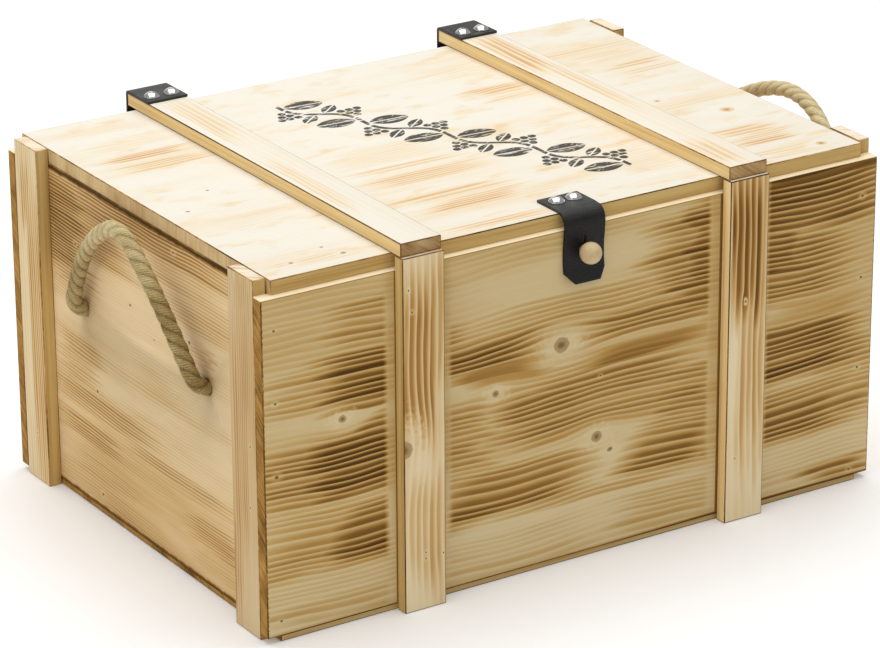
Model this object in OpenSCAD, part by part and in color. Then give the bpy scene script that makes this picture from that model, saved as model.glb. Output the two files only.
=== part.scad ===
// Flamed pine box with a leather-hinged lid, a leather closure strap on a
// turned knob, and a twisted rope handle through each end.
// Millimetres. X runs along the box, the front faces -Y, Z is up, and the
// origin is the centre of the underside.

/* [Case] */
// Length of the front and back panels
case_l = 540; // [460:5:640]
// Depth over the front and back panels
case_d = 378; // [340:2:460]
// Height of the wall panels
wall_h = 259.5; // [240:0.5:330]
// Thickness of the wall panels
wall_t = 10.5; // [9:0.5:14]
// Thickness of the bottom panel
bottom_t = 5; // [3:0.5:9]
// How far the bottom panel stands back from the front and back faces
bottom_setback = 1; // [0.5:0.25:4]
// Gap between each end of the bottom panel and the end battens
bottom_end_gap = 0.8; // [0.4:0.1:4]
// Radius of the eased long edges of every board
edge_r = 0.8; // [0.3:0.1:2]

/* [Lid] */
// Thickness of the lid panel
lid_t = 11; // [9:0.5:14]
// Gap between each end of the lid and the end battens
lid_end_gap = 0.8; // [0.4:0.1:3]
// How far the lid's front edge stands back from the front face
lid_front_setback = 5.5; // [4:0.5:7]
// How far the lid's rear edge stands back from the back face
lid_rear_setback = 1.5; // [0.5:0.5:6]

/* [Battens] */
// Width of the front and rear battens
batten_w = 35; // [30:1:50]
// Thickness of the front, rear and end battens
batten_t = 10.5; // [9:0.5:14]
// Distance from the middle of the box to each front, rear and lid batten
batten_x = 143; // [110:1:180]
// Width of the end battens
end_batten_w = 35; // [25:1:40]
// How far the end battens stand above the lid
end_batten_rise = 0.5; // [0:0.5:5]
// Width of the lid battens
lid_batten_w = 34; // [30:1:50]
// Thickness of the lid battens
lid_batten_t = 10.5; // [9:0.5:14]
// How far the lid battens stop short of the front battens' faces
lid_batten_setback = 3; // [1:0.5:8]

/* [Leather] */
// Width of the leather straps
strap_w = 35; // [30:1:50]
// Thickness of the leather
strap_t = 2; // [1.5:0.25:3]
// Distance from a strap's free end to its screws
screw_to_end = 10.5; // [9:0.5:14]
// Length of each hinge strap on its lid batten
hinge_lap = 34; // [28:1:60]
// Length of each hinge strap on its rear batten
hinge_drop = 30.5; // [29:0.5:60]
// Distance between the two screws of a hinge strap
hinge_screw_gap = 17.5; // [14:0.5:20]
// Length of the closure strap on the lid, up to its bend
closure_lap = 27; // [24:1:60]
// Distance between the two screws of the closure strap
closure_screw_gap = 15; // [13.5:0.5:20]
// Inner radius of the closure strap's bend over the lid's edge
bend_r = 8; // [8:0.5:9.5]
// Gap between the hanging strap and the front panel
flap_gap = 0.3; // [0.2:0.1:1]
// Length of the closure strap below the knob's axis
flap_tail = 24.5; // [18:0.5:40]
// How far the strap's lower end curls away from the panel
flap_curl = 2.5; // [0:0.5:6]
// Width of the cut corner at the strap's lower left
corner_left = 9.5; // [4:0.5:12]
// Width of the cut corner at the strap's lower right
corner_right = 5; // [4:0.5:12]
// Height of both cut corners
corner_h = 8.5; // [4:0.5:12]
// Diameter of the button hole
button_hole_d = 9; // [8.5:0.25:11]
// Length of the slit above the button hole
slit_l = 7.5; // [5:0.5:12]
// Width of the slit
slit_w = 0.8; // [0.4:0.1:1.5]

/* [Knob] */
// Diameter of the knob's ball
knob_d = 16.5; // [14:0.5:24]
// Diameter of the knob's neck
knob_neck_d = 8; // [7:0.25:8.25]
// Drop from the top of the front panel to the knob's axis
knob_drop = 18; // [17:0.5:40]
// Gap between the leather and the ball, on the knob's axis
knob_lift = 0.25; // [0.1:0.05:1]

/* [Rope handles] */
// Diameter of the rope
rope_d = 12; // [10:0.5:14]
// Play of the rope in its hole, on the diameter
rope_play = 1; // [0.6:0.1:2]
// Distance between the two rope holes of an end panel
rope_span = 185; // [160:1:200]
// Drop from the top of the walls to the rope holes
rope_drop = 100; // [80:1:150]
// Distance from an end panel to the line that its handle swings about
swing_out = 9.3; // [8:0.1:14]
// Lean of the left handle, out from upright
left_lean = 7; // [0:1:90]
// Lean of the right handle, out from upright
right_lean = 35; // [0:1:90]
// Diameter of the knots inside the end panels
knot_d = 30; // [24:1:40]
// Length of rope that hangs out of each knot
knot_tail = 12; // [6:1:30]

/* [Fasteners] */
// Diameter of the domed screw heads
dome_d = 12.5; // [10:0.5:13]
// Height of the domed screw heads
dome_h = 4; // [2:0.5:5]
// Diameter of the strap screws' shanks
shank_d = 3.5; // [3:0.25:4.5]
// Length of the strap screws under the head
shank_l = 10; // [7:0.5:12]
// Clearance round every screw, on the diameter
screw_clear = 0.2; // [0.1:0.05:0.5]
// Diameter of the knob screw's head
knob_head_d = 7.5; // [6:0.5:10]
// Height of the knob screw's head
knob_head_h = 2.4; // [1.5:0.1:3.5]
// Depth of the knob screw in the knob
knob_bite = 9; // [6:0.5:11]
// Diameter of the brads
brad_d = 1.6; // [1.2:0.1:2]
// Length of the brads that hold the walls and the bottom
brad_l = 28; // [20:1:35]
// Length of the brads that hold the battens
batten_brad_l = 17.5; // [14:0.5:18]
// Depth that a brad's head is driven below the surface
brad_sink = 0.4; // [0.2:0.1:1]
// Clearance round every brad, on the diameter
brad_clear = 0.1; // [0.06:0.02:0.3]
// Brads in each end of the front and back panels
wall_brad_count = 5; // [3:1:7]
// Brads along each long edge of the bottom panel
bottom_brad_count = 5; // [3:1:8]

/* [Hidden] */

// Smoothness of round surfaces
$fn = 64;
// Overlap that keeps a cut clear of the face it starts from
cut = 1;

// Colours
pine = "#c8a874";
pale_pine = "#efe2c8";
leather = "#26262a";
chrome = "#d8d8dc";
beech = "#cdb48c";
hemp = "#b9a777";
steel = "#77777a";

// Heights
wall_top = bottom_t + wall_h;
lid_top = wall_top + lid_t;
lid_batten_top = lid_top + lid_batten_t;
wall_mid = bottom_t + wall_h / 2;

// Places across the depth: the faces of the panels and battens
face_y = case_d / 2;
inner_y = face_y - wall_t;
batten_y = face_y + batten_t;
lid_front_y = -face_y + lid_front_setback;
lid_rear_y = face_y - lid_rear_setback;
lid_batten_front_y = -batten_y + lid_batten_setback;

// Places along the length: the panels' ends and the end panels' faces
end_x = case_l / 2;
end_panel_x = end_x - batten_t;
end_inner_x = end_panel_x - wall_t;
lid_end_x = end_panel_x - lid_end_gap;

// The hinge line: the outer face of the leather, half way up the gap
// between a rear batten and the lid batten above it
hinge_z = (wall_top + lid_top) / 2;
hinge_screw_y = batten_y - hinge_lap + screw_to_end;
hinge_screw_z = wall_top - hinge_drop + screw_to_end;
// Radius of the hinge strap's outer bend over the batten's end
hinge_bend_r = strap_t;

// The closure: the strap leaves the lid at bend_y and hangs before the panel
bend_y = lid_front_y + 0.75 * edge_r;
tab_rear_y = bend_y + closure_lap;
closure_screw_y = tab_rear_y - screw_to_end;
knob_z = wall_top - knob_drop;
hang_y = bend_y - bend_r - strap_t / 2;
rest_y = -face_y - flap_gap - strap_t / 2;
bend_z = lid_top - bend_r;
flap_end_z = knob_z - flap_tail;
knob_y = rest_y - strap_t / 2 - knob_lift - knob_d / 2;

// The rope handles
rope_hole_d = rope_d + rope_play;
rope_z = wall_top - rope_drop;
swing_x = end_panel_x + swing_out;
// Gap between a handle's round end and the rope in the hole
rope_gap = 0.3;
// Depth of the flat where a knot bears on the end panel
knot_flat = 3;
// Each arch as [distance along Y from the middle, height above the holes]
left_arch = [
    [92.5, 0], [90, 10], [84, 22], [77, 34], [68, 46], [58, 58], [47, 69], [34, 80],
    [20, 89], [6, 95.5], [-8, 96.5], [-19, 92], [-28, 84], [-37, 75], [-46, 65],
    [-54, 55], [-62, 45], [-69, 35], [-76, 25], [-84, 12], [-92.5, 0]
];
right_arch = [
    [92.5, 0], [93, 14], [90, 28], [85, 42], [78, 55], [69, 68], [58, 80], [46, 90],
    [33, 98], [19, 103.5], [5, 106.5], [-10, 106.5], [-25, 104], [-39, 99.5],
    [-52, 93.5], [-64, 86], [-75, 75.5], [-84, 63], [-90, 48], [-93, 32],
    [-93.5, 16], [-92.5, 0]
];
rope_sides = 10;
// Rings of a rope's round end: angles from its pole
end_ring_angles = [15, 40, 65];

// Brads: how far the last one of each row is from the board's end or edge
wall_brad_inset = 2.5;
wall_brad_foot = 11.5;
wall_brad_head = 24;
bottom_brad_inset = 60;
batten_brad_inset = 10;
batten_brad_foot = 37;
front_brad_head = 22;
rear_brad_head = 24;
end_brad_foot = 40;
end_brad_head = 10;
lid_brad_inset = 40;

// Brads: places along each row
wall_brad_x = end_panel_x - wall_brad_inset;
wall_brad_low = bottom_t + wall_brad_foot;
wall_brad_high = wall_top - wall_brad_head;
wall_brad_zs = [for (i = [0:wall_brad_count - 1])
    wall_brad_low + i * (wall_brad_high - wall_brad_low) / (wall_brad_count - 1)];
bottom_brad_x = end_x - bottom_brad_inset;
bottom_brad_xs = [for (i = [0:bottom_brad_count - 1])
    -bottom_brad_x + i * 2 * bottom_brad_x / (bottom_brad_count - 1)];
end_brad_x = end_inner_x + wall_t / 2;
bottom_end_brad_y = inner_y - bottom_brad_inset;
batten_brad_dx = batten_w / 2 - batten_brad_inset;
batten_brad_low = bottom_t + batten_brad_foot;
front_brad_high = wall_top - front_brad_head;
rear_brad_high = wall_top - hinge_drop - rear_brad_head;
end_brad_y = inner_y - end_batten_w / 2;
end_brad_low = wall_brad_low + end_brad_foot;
end_brad_high = wall_brad_high - end_brad_head;
lid_brad_y = inner_y - lid_brad_inset;

// ---- Boards ----

// A board's section with its four corners eased
module eased_section(w, t) {
    r = edge_r;
    square([w - 2 * r, t], center = true);
    square([w, t - 2 * r], center = true);
    for (sx = [-1, 1], sy = [-1, 1])
        translate([sx * (w / 2 - r), sy * (t / 2 - r)]) circle(r);
}

// A board lying along X, centred, w wide along Z and t thick along Y
module board_x(l, w, t) {
    rotate([90, 0, 90]) linear_extrude(l, center = true) eased_section(t, w);
}

// A board lying along Y, centred, w wide along X and t thick along Z
module board_y(l, w, t) {
    rotate([90, 0, 0]) linear_extrude(l, center = true) eased_section(w, t);
}

// A board standing along Z from its foot, w along X and t along Y
module board_z(l, w, t) {
    linear_extrude(l) eased_section(w, t);
}

// ---- Fasteners ----

// A brad and its hole, driven from z = 0 towards -Z
module brad(l) {
    translate([0, 0, -brad_sink - l]) cylinder(d = brad_d, h = l);
}

module brad_hole(l) {
    translate([0, 0, -brad_sink - l - brad_clear])
        cylinder(d = brad_d + brad_clear, h = l + brad_sink + brad_clear + cut);
}

// A domed strap screw, its head standing on z = 0
module dome_screw() {
    cap_r = (dome_d * dome_d / 4 + dome_h * dome_h) / (2 * dome_h);
    rotate_extrude() intersection() {
        translate([0, dome_h - cap_r]) circle(cap_r);
        square([dome_d / 2 + cut, dome_h]);
    }
    translate([0, 0, -shank_l]) cylinder(d = shank_d, h = shank_l + dome_h / 2);
}

module screw_hole() {
    translate([0, 0, -shank_l - screw_clear])
        cylinder(d = shank_d + screw_clear, h = shank_l + screw_clear + cut);
}

// Places of each family of fasteners, with +Z out of the surface
module at_wall_brads() {
    for (sx = [-1, 1], sy = [-1, 1], z = wall_brad_zs)
        translate([sx * wall_brad_x, sy * face_y, z]) rotate([-sy * 90, 0, 0]) children();
}

module at_bottom_brads() {
    for (x = bottom_brad_xs, sy = [-1, 1])
        translate([x, sy * (face_y - wall_t / 2), 0]) rotate([180, 0, 0]) children();
    for (sx = [-1, 1], y = [-bottom_end_brad_y, 0, bottom_end_brad_y])
        translate([sx * end_brad_x, y, 0]) rotate([180, 0, 0]) children();
}

module at_batten_brads(sy, high) {
    for (sx = [-1, 1], dx = [-batten_brad_dx, batten_brad_dx], z = [batten_brad_low, high])
        translate([sx * batten_x + dx, sy * batten_y, z]) rotate([-sy * 90, 0, 0]) children();
}

module at_end_brads() {
    for (sx = [-1, 1], sy = [-1, 1], z = [end_brad_low, wall_mid, end_brad_high])
        translate([sx * end_inner_x, sy * end_brad_y, z]) rotate([0, -sx * 90, 0]) children();
}

module at_lid_brads() {
    for (sx = [-1, 1], y = [-lid_brad_y, -lid_brad_y / 3, lid_brad_y / 3, lid_brad_y])
        translate([sx * batten_x, y, wall_top]) rotate([180, 0, 0]) children();
}

module at_hinge_lid_screws() {
    for (sx = [-1, 1], dx = [-hinge_screw_gap / 2, hinge_screw_gap / 2])
        translate([sx * batten_x + dx, hinge_screw_y, lid_batten_top + strap_t]) children();
}

module at_hinge_case_screws() {
    for (sx = [-1, 1], dx = [-hinge_screw_gap / 2, hinge_screw_gap / 2])
        translate([sx * batten_x + dx, batten_y + strap_t, hinge_screw_z])
            rotate([-90, 0, 0]) children();
}

module at_closure_screws() {
    for (dx = [-closure_screw_gap / 2, closure_screw_gap / 2])
        translate([dx, closure_screw_y, lid_top + strap_t]) children();
}

module wall_brads() {
    color(steel) at_wall_brads() brad(brad_l);
}

module bottom_brads() {
    color(steel) at_bottom_brads() brad(brad_l);
}

module front_batten_brads() {
    color(steel) at_batten_brads(-1, front_brad_high) brad(batten_brad_l);
}

module rear_batten_brads() {
    color(steel) at_batten_brads(1, rear_brad_high) brad(batten_brad_l);
}

module end_batten_brads() {
    color(steel) at_end_brads() brad(batten_brad_l);
}

module lid_batten_brads() {
    color(steel) at_lid_brads() brad(batten_brad_l);
}

// ---- Case ----

module front_panel() {
    color(pine) difference() {
        translate([0, -face_y + wall_t / 2, wall_mid]) board_x(case_l, wall_h, wall_t);
        at_wall_brads() brad_hole(brad_l);
        at_bottom_brads() brad_hole(brad_l);
        at_batten_brads(-1, front_brad_high) brad_hole(batten_brad_l);
        translate([0, -inner_y + cut, knob_z]) rotate([90, 0, 0])
            cylinder(d = shank_d + screw_clear, h = wall_t + 2 * cut);
    }
}

module back_panel() {
    color(pine) difference() {
        translate([0, face_y - wall_t / 2, wall_mid]) board_x(case_l, wall_h, wall_t);
        at_wall_brads() brad_hole(brad_l);
        at_bottom_brads() brad_hole(brad_l);
        at_batten_brads(1, rear_brad_high) brad_hole(batten_brad_l);
    }
}

// An end panel: side is -1 on the left and 1 on the right
module end_panel(side) {
    color(pine) difference() {
        translate([side * end_brad_x, 0, wall_mid]) rotate([0, 0, 90])
            board_x(2 * inner_y, wall_h, wall_t);
        at_wall_brads() brad_hole(brad_l);
        at_bottom_brads() brad_hole(brad_l);
        at_end_brads() brad_hole(batten_brad_l);
        for (sy = [-1, 1])
            translate([side * end_brad_x, sy * rope_span / 2, rope_z]) rotate([0, 90, 0])
                cylinder(d = rope_hole_d, h = wall_t + 2 * cut, center = true);
    }
}

module left_end_panel() {
    end_panel(-1);
}

module right_end_panel() {
    end_panel(1);
}

module bottom_panel() {
    bottom_l = 2 * (end_panel_x - bottom_end_gap);
    color(pine) difference() {
        translate([0, 0, bottom_t / 2])
            board_x(bottom_l, bottom_t, 2 * (face_y - bottom_setback));
        at_bottom_brads() brad_hole(brad_l);
    }
}

// An end batten, tucked between the front or back panel and the end panel
module end_batten(sx, sy) {
    color(pine) difference() {
        translate([sx * (end_panel_x + batten_t / 2), sy * (inner_y - end_batten_w / 2), 0])
            board_z(lid_top + end_batten_rise, batten_t, end_batten_w);
        at_end_brads() brad_hole(batten_brad_l);
        at_wall_brads() brad_hole(brad_l);
    }
}

module front_left_end_batten() {
    end_batten(-1, -1);
}

module rear_left_end_batten() {
    end_batten(-1, 1);
}

module front_right_end_batten() {
    end_batten(1, -1);
}

module rear_right_end_batten() {
    end_batten(1, 1);
}

// A front batten reaches up to the lid's top; the lid batten closes over it
module front_batten(side) {
    color(pine) difference() {
        translate([side * batten_x, -face_y - batten_t / 2, 0])
            board_z(lid_top, batten_w, batten_t);
        at_batten_brads(-1, front_brad_high) brad_hole(batten_brad_l);
    }
}

module left_front_batten() {
    front_batten(-1);
}

module right_front_batten() {
    front_batten(1);
}

// A rear batten stops at the top of the back panel, below the hinge strap
module rear_batten(side) {
    color(pine) difference() {
        translate([side * batten_x, face_y + batten_t / 2, 0])
            board_z(wall_top, batten_w, batten_t);
        at_batten_brads(1, rear_brad_high) brad_hole(batten_brad_l);
        at_hinge_case_screws() screw_hole();
    }
}

module left_rear_batten() {
    rear_batten(-1);
}

module right_rear_batten() {
    rear_batten(1);
}

// ---- Lid ----

module lid_panel() {
    lid_d = lid_rear_y - lid_front_y;
    color(pale_pine) difference() {
        translate([0, (lid_rear_y + lid_front_y) / 2, wall_top + lid_t / 2])
            board_x(2 * lid_end_x, lid_t, lid_d);
        at_closure_screws() screw_hole();
        at_lid_brads() brad_hole(batten_brad_l);
    }
}

module lid_batten(side) {
    color(pale_pine) difference() {
        translate([side * batten_x, (batten_y + lid_batten_front_y) / 2,
                lid_top + lid_batten_t / 2])
            board_y(batten_y - lid_batten_front_y, lid_batten_w, lid_batten_t);
        at_hinge_lid_screws() screw_hole();
        at_lid_brads() brad_hole(batten_brad_l);
    }
}

module left_lid_batten() {
    lid_batten(-1);
}

module right_lid_batten() {
    lid_batten(1);
}

// ---- Hinge straps ----

// A side outline in the Y-Z plane, drawn out along X to the strap's width
module strap_from(x) {
    translate([x - strap_w / 2, 0, 0]) rotate([90, 0, 90]) linear_extrude(strap_w) children();
}

// The leather on the lid batten, bent down over the batten's end
module hinge_lid_leaf(side) {
    top = lid_batten_top + strap_t;
    outer = batten_y + strap_t;
    color(leather) difference() {
        strap_from(side * batten_x) {
            translate([batten_y - hinge_lap, lid_batten_top])
                square([hinge_lap + strap_t - hinge_bend_r, strap_t]);
            translate([batten_y, hinge_z])
                square([strap_t, top - hinge_bend_r - hinge_z]);
            translate([outer - hinge_bend_r, top - hinge_bend_r]) intersection() {
                circle(hinge_bend_r);
                square(hinge_bend_r);
            }
        }
        at_hinge_lid_screws() screw_hole();
    }
}

// The leather on the rear batten, up to the hinge line
module hinge_case_leaf(side) {
    color(leather) difference() {
        strap_from(side * batten_x)
            translate([batten_y, wall_top - hinge_drop])
                square([strap_t, hinge_z - wall_top + hinge_drop]);
        at_hinge_case_screws() screw_hole();
    }
}

module left_hinge_lid_leaf() {
    hinge_lid_leaf(-1);
}

module left_hinge_case_leaf() {
    hinge_case_leaf(-1);
}

module right_hinge_lid_leaf() {
    hinge_lid_leaf(1);
}

module right_hinge_case_leaf() {
    hinge_case_leaf(1);
}

module hinge_lid_screws() {
    color(chrome) at_hinge_lid_screws() dome_screw();
}

module hinge_case_screws() {
    color(chrome) at_hinge_case_screws() dome_screw();
}

// ---- Closure ----

module closure_strap_tab() {
    color(leather) difference() {
        strap_from(0) translate([bend_y, lid_top]) square([closure_lap, strap_t]);
        at_closure_screws() screw_hole();
    }
}

// A smooth step from 0 to 1
function ease(t) = t * t * (3 - 2 * t);

// The middle line of the hanging strap, from the bend's top to its lower end
bend_steps = 12;
lean_top_z = bend_z - 8;
lean_end_z = knob_z + 3;
curl_z = knob_z - 10;
flap_line = concat(
    [for (i = [0:bend_steps]) let (a = 90 + 90 * i / bend_steps)
        [bend_y + (bend_r + strap_t / 2) * cos(a), bend_z + (bend_r + strap_t / 2) * sin(a)]],
    [for (i = [0:8]) let (t = i / 8)
        [hang_y + (rest_y - hang_y) * ease(t), lean_top_z + (lean_end_z - lean_top_z) * t]],
    [for (i = [0:6]) let (t = i / 6)
        [rest_y - flap_curl * t * t, curl_z + (flap_end_z - curl_z) * t]]
);

// Unit direction of a line of points at its point i
function line_dir(p, i) =
    let (d = p[min(i + 1, len(p) - 1)] - p[max(i - 1, 0)]) d / norm(d);

// One side of a ribbon: the points of a line moved sideways by s
function beside(p, s) = [for (i = [0:len(p) - 1])
    let (d = i == 0 ? [-1, 0] : line_dir(p, i)) p[i] + s * [d[1], -d[0]]];

function reversed(p) = [for (i = [len(p) - 1:-1:0]) p[i]];

// The hanging strap with its button hole, slit and two cut corners
module closure_strap_flap() {
    color(leather) difference() {
        strap_from(0) polygon(concat(
            beside(flap_line, strap_t / 2),
            reversed(beside(flap_line, -strap_t / 2))));
        translate([0, -face_y + cut, knob_z]) rotate([90, 0, 0]) {
            cylinder(d = button_hole_d, h = 2 * bend_r + cut);
            translate([-slit_w / 2, 0, 0])
                cube([slit_w, button_hole_d / 2 + slit_l, 2 * bend_r + cut]);
        }
        corner_cut(-1, corner_left);
        corner_cut(1, corner_right);
    }
}

// Cuts one lower corner off the hanging strap
module corner_cut(side, w) {
    translate([side * strap_w / 2, -face_y + cut, flap_end_z]) rotate([90, 0, 0])
        linear_extrude(2 * bend_r + cut)
            polygon([
                [-side * w, 0], [0, corner_h], [side * cut, corner_h],
                [side * cut, -cut], [-side * w, -cut]
            ]);
}

module closure_screws() {
    color(chrome) at_closure_screws() dome_screw();
}

// The ball knob: its neck passes the button hole and stands on the panel
module closure_knob() {
    neck_l = -face_y - knob_y;
    color(beech) difference() {
        translate([0, knob_y, knob_z]) rotate([-90, 0, 0]) {
            sphere(d = knob_d);
            cylinder(d = knob_neck_d, h = neck_l);
        }
        translate([0, -face_y + cut, knob_z]) rotate([90, 0, 0])
            cylinder(d = shank_d + screw_clear, h = knob_bite + screw_clear + cut);
    }
}

// The screw that holds the knob, driven from inside the case
module knob_screw() {
    color(steel) translate([0, -inner_y, knob_z]) rotate([-90, 0, 0]) {
        translate([0, 0, -wall_t - knob_bite])
            cylinder(d = shank_d, h = wall_t + knob_bite + knob_head_h / 2);
        cylinder(d = knob_head_d, h = knob_head_h);
    }
}

// ---- Rope handles ----

// A point of an arch in space: side is -1 on the left and 1 on the right
function arch_point(p, side, lean) =
    [side * (swing_x + p[1] * sin(lean)), p[0], rope_z + p[1] * cos(lean)];

// Centre and radius of every ring of a rope whose two ends are round
function rope_rings(path) =
    let (n = len(path) - 1, r = rope_d / 2,
        d0 = line_dir(path, 0), d1 = line_dir(path, n))
    concat(
        [for (a = end_ring_angles) [path[0] - d0 * r * cos(a), r * sin(a), d0]],
        [for (i = [0:n]) [path[i], r, line_dir(path, i)]],
        [for (a = reversed(end_ring_angles)) [path[n] + d1 * r * cos(a), r * sin(a), d1]]);

// A rope swept along an arch that lies in the plane across `flat`
module rope_along(path, flat) {
    rings = rope_rings(path);
    s = rope_sides;
    last = len(rings) - 1;
    points = [for (ring = rings, k = [0:s - 1])
        let (a = 360 * k / s, side_dir = cross(ring[2], flat))
        ring[0] + ring[1] * (cos(a) * flat + sin(a) * side_dir)];
    walls = [for (i = [0:last - 1], k = [0:s - 1])
        let (k2 = (k + 1) % s)
        [i * s + k, i * s + k2, (i + 1) * s + k2, (i + 1) * s + k]];
    caps = [[for (k = [s - 1:-1:0]) k], [for (k = [0:s - 1]) last * s + k]];
    polyhedron(points, concat(walls, caps), convexity = 6);
}

module handle_rope(side, arch, lean) {
    color(hemp) rope_along(
        [for (p = arch) arch_point(p, side, lean)],
        [side * cos(lean), 0, -sin(lean)]);
}

module left_handle_rope() {
    handle_rope(-1, left_arch, left_lean);
}

module right_handle_rope() {
    handle_rope(1, right_arch, right_lean);
}

// The rope's two ends: through the panel to a knot, with a tail hanging down
module rope_knots(side) {
    knot_x = end_inner_x - knot_d / 2 + knot_flat;
    rope_end_x = swing_x - rope_d / 2 - rope_gap;
    color(hemp) for (sy = [-1, 1]) translate([0, sy * rope_span / 2, rope_z]) {
        intersection() {
            translate([side * knot_x, 0, 0]) sphere(d = knot_d);
            translate([side * (end_inner_x - knot_d), 0, 0])
                cube([2 * knot_d, 2 * knot_d, 2 * knot_d], center = true);
        }
        translate([side * (knot_x + rope_end_x) / 2, 0, 0]) rotate([0, 90, 0])
            cylinder(d = rope_d, h = rope_end_x - knot_x, center = true);
        translate([side * knot_x, 0, -knot_d / 2 - knot_tail])
            cylinder(d = rope_d, h = knot_d / 2 + knot_tail);
    }
}

module left_rope_knots() {
    rope_knots(-1);
}

module right_rope_knots() {
    rope_knots(1);
}

front_panel();
back_panel();
left_end_panel();
right_end_panel();
bottom_panel();
front_left_end_batten();
rear_left_end_batten();
front_right_end_batten();
rear_right_end_batten();
left_front_batten();
right_front_batten();
left_rear_batten();
right_rear_batten();
lid_panel();
left_lid_batten();
right_lid_batten();
left_hinge_lid_leaf();
left_hinge_case_leaf();
right_hinge_lid_leaf();
right_hinge_case_leaf();
hinge_lid_screws();
hinge_case_screws();
closure_strap_tab();
closure_strap_flap();
closure_screws();
closure_knob();
knob_screw();
left_handle_rope();
right_handle_rope();
left_rope_knots();
right_rope_knots();
wall_brads();
bottom_brads();
front_batten_brads();
rear_batten_brads();
end_batten_brads();
lid_batten_brads();
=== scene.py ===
# %% [markdown]
# A flamed pine box, dressed for its portrait
# The imported model gives every board, strap and screw its true size and place.
# This lesson loads it as a fixed frame, makes each visible piece anew with the worn edges, grain
# and leather that the plain solids lack, and lets the boards, screws, knob and knots ride on the
# body that each belongs to, so the lid still moves.

# %% Load the frame
import math
import random

import bmesh
import bpy
from mathutils import Matrix, Vector


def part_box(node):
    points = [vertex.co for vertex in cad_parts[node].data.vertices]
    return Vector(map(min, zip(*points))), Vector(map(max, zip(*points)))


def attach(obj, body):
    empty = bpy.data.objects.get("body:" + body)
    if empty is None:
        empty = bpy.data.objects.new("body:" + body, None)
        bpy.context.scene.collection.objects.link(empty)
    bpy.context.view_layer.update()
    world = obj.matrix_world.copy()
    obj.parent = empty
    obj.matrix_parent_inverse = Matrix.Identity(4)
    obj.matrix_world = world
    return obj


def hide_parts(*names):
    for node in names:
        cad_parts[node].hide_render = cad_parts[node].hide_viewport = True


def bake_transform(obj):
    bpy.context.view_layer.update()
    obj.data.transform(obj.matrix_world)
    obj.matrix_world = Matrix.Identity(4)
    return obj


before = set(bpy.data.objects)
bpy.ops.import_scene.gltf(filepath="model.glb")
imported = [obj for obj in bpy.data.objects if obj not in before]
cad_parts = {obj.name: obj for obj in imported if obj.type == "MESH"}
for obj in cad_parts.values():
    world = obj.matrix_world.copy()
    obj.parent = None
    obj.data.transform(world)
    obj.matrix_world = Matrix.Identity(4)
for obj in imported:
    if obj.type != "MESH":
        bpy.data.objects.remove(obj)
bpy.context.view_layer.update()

MM = 0.001

# %% [markdown]
# Camera
# A long lens from about three metres keeps the box's edges nearly parallel, as
# a product portrait has them. The direction comes from two angles and the lens
# is turned a third of a degree about its own axis.

# %% Camera
CAMERA_AT = Vector((-1627.0, -2539.9, 1336.2)) * MM
TURN, TILT, ROLL = math.radians(-32.613), math.radians(21.887), math.radians(-0.352)
LENS, SENSOR = 172.72, 36.0


def pick(*pieces):
    """Selects these pieces alone, or nothing, and makes the first one active."""
    bpy.ops.object.select_all(action="DESELECT")
    for piece in pieces:
        piece.select_set(True)
    if pieces:
        bpy.context.view_layer.objects.active = pieces[0]


looking = Vector((-math.sin(TURN) * math.cos(TILT), math.cos(TURN) * math.cos(TILT),
                  -math.sin(TILT)))
pick()
bpy.ops.object.camera_add(location=CAMERA_AT)
camera = bpy.context.object
camera.rotation_euler = (looking.to_track_quat("-Z", "Y").to_matrix()
                         @ Matrix.Rotation(ROLL, 3, "Z")).to_euler()
camera.data.lens = LENS
camera.data.sensor_width = SENSOR
camera.data.sensor_fit = "HORIZONTAL"
camera.data.clip_end = 30.0
camera.data.dof.use_dof = False
bpy.context.scene.camera = camera
print("camera at", [round(v, 3) for v in camera.location])

# %% [markdown]
# Rope handles
# Each handle is one 12 mm three-strand rope. It comes out of its hole, kinks up
# at once into an arch, and goes back in through the second hole. A cord is
# settled by its route: the few points that the construction model uses, drawn
# out to one smooth line.

# %% The two routes
HOLE_Y, HOLE_Z = 92.5, 164.5
PANEL_IN, PANEL_OUT = 249, 259.5
STUB_X = (PANEL_IN, 256, 262)
SWING_X = 268.8
LEFT_LEAN, RIGHT_LEAN = math.radians(7), math.radians(35)
LEFT_ARCH = [
    (90.5, 8), (84, 21), (77, 33), (68, 46), (58, 58), (47, 69), (34, 80), (20, 89),
    (6, 95.5), (-8, 96.5), (-19, 92), (-28, 84), (-37, 75), (-46, 65), (-54, 55),
    (-62, 45), (-69, 35), (-76, 25), (-84, 14), (-90.5, 6)]
RIGHT_ARCH = [
    (92.5, 9), (92.5, 20), (89, 33), (83.5, 46), (76, 58), (67, 70), (56, 82), (44, 91),
    (31, 98.5), (18, 103.5), (4, 106.5), (-10, 106.5), (-25, 104), (-39, 99.5), (-52, 93.5),
    (-64, 86), (-75, 75.5), (-84, 63), (-90, 48), (-93, 32), (-93.5, 18), (-92.5, 8)]


def handle_route(side, arch, lean):
    """The rope's middle line: out of the rear hole, over the arch, into the front one."""
    stub = [(side * x * MM, HOLE_Z * MM) for x in STUB_X]
    rear = [Vector((x, HOLE_Y * MM, z)) for x, z in stub]
    front = [Vector((x, -HOLE_Y * MM, z)) for x, z in reversed(stub)]
    over = [Vector((side * (SWING_X + h * math.sin(lean)), y, HOLE_Z + h * math.cos(lean)))
            * MM for y, h in arch]
    return rear + over + front


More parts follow.
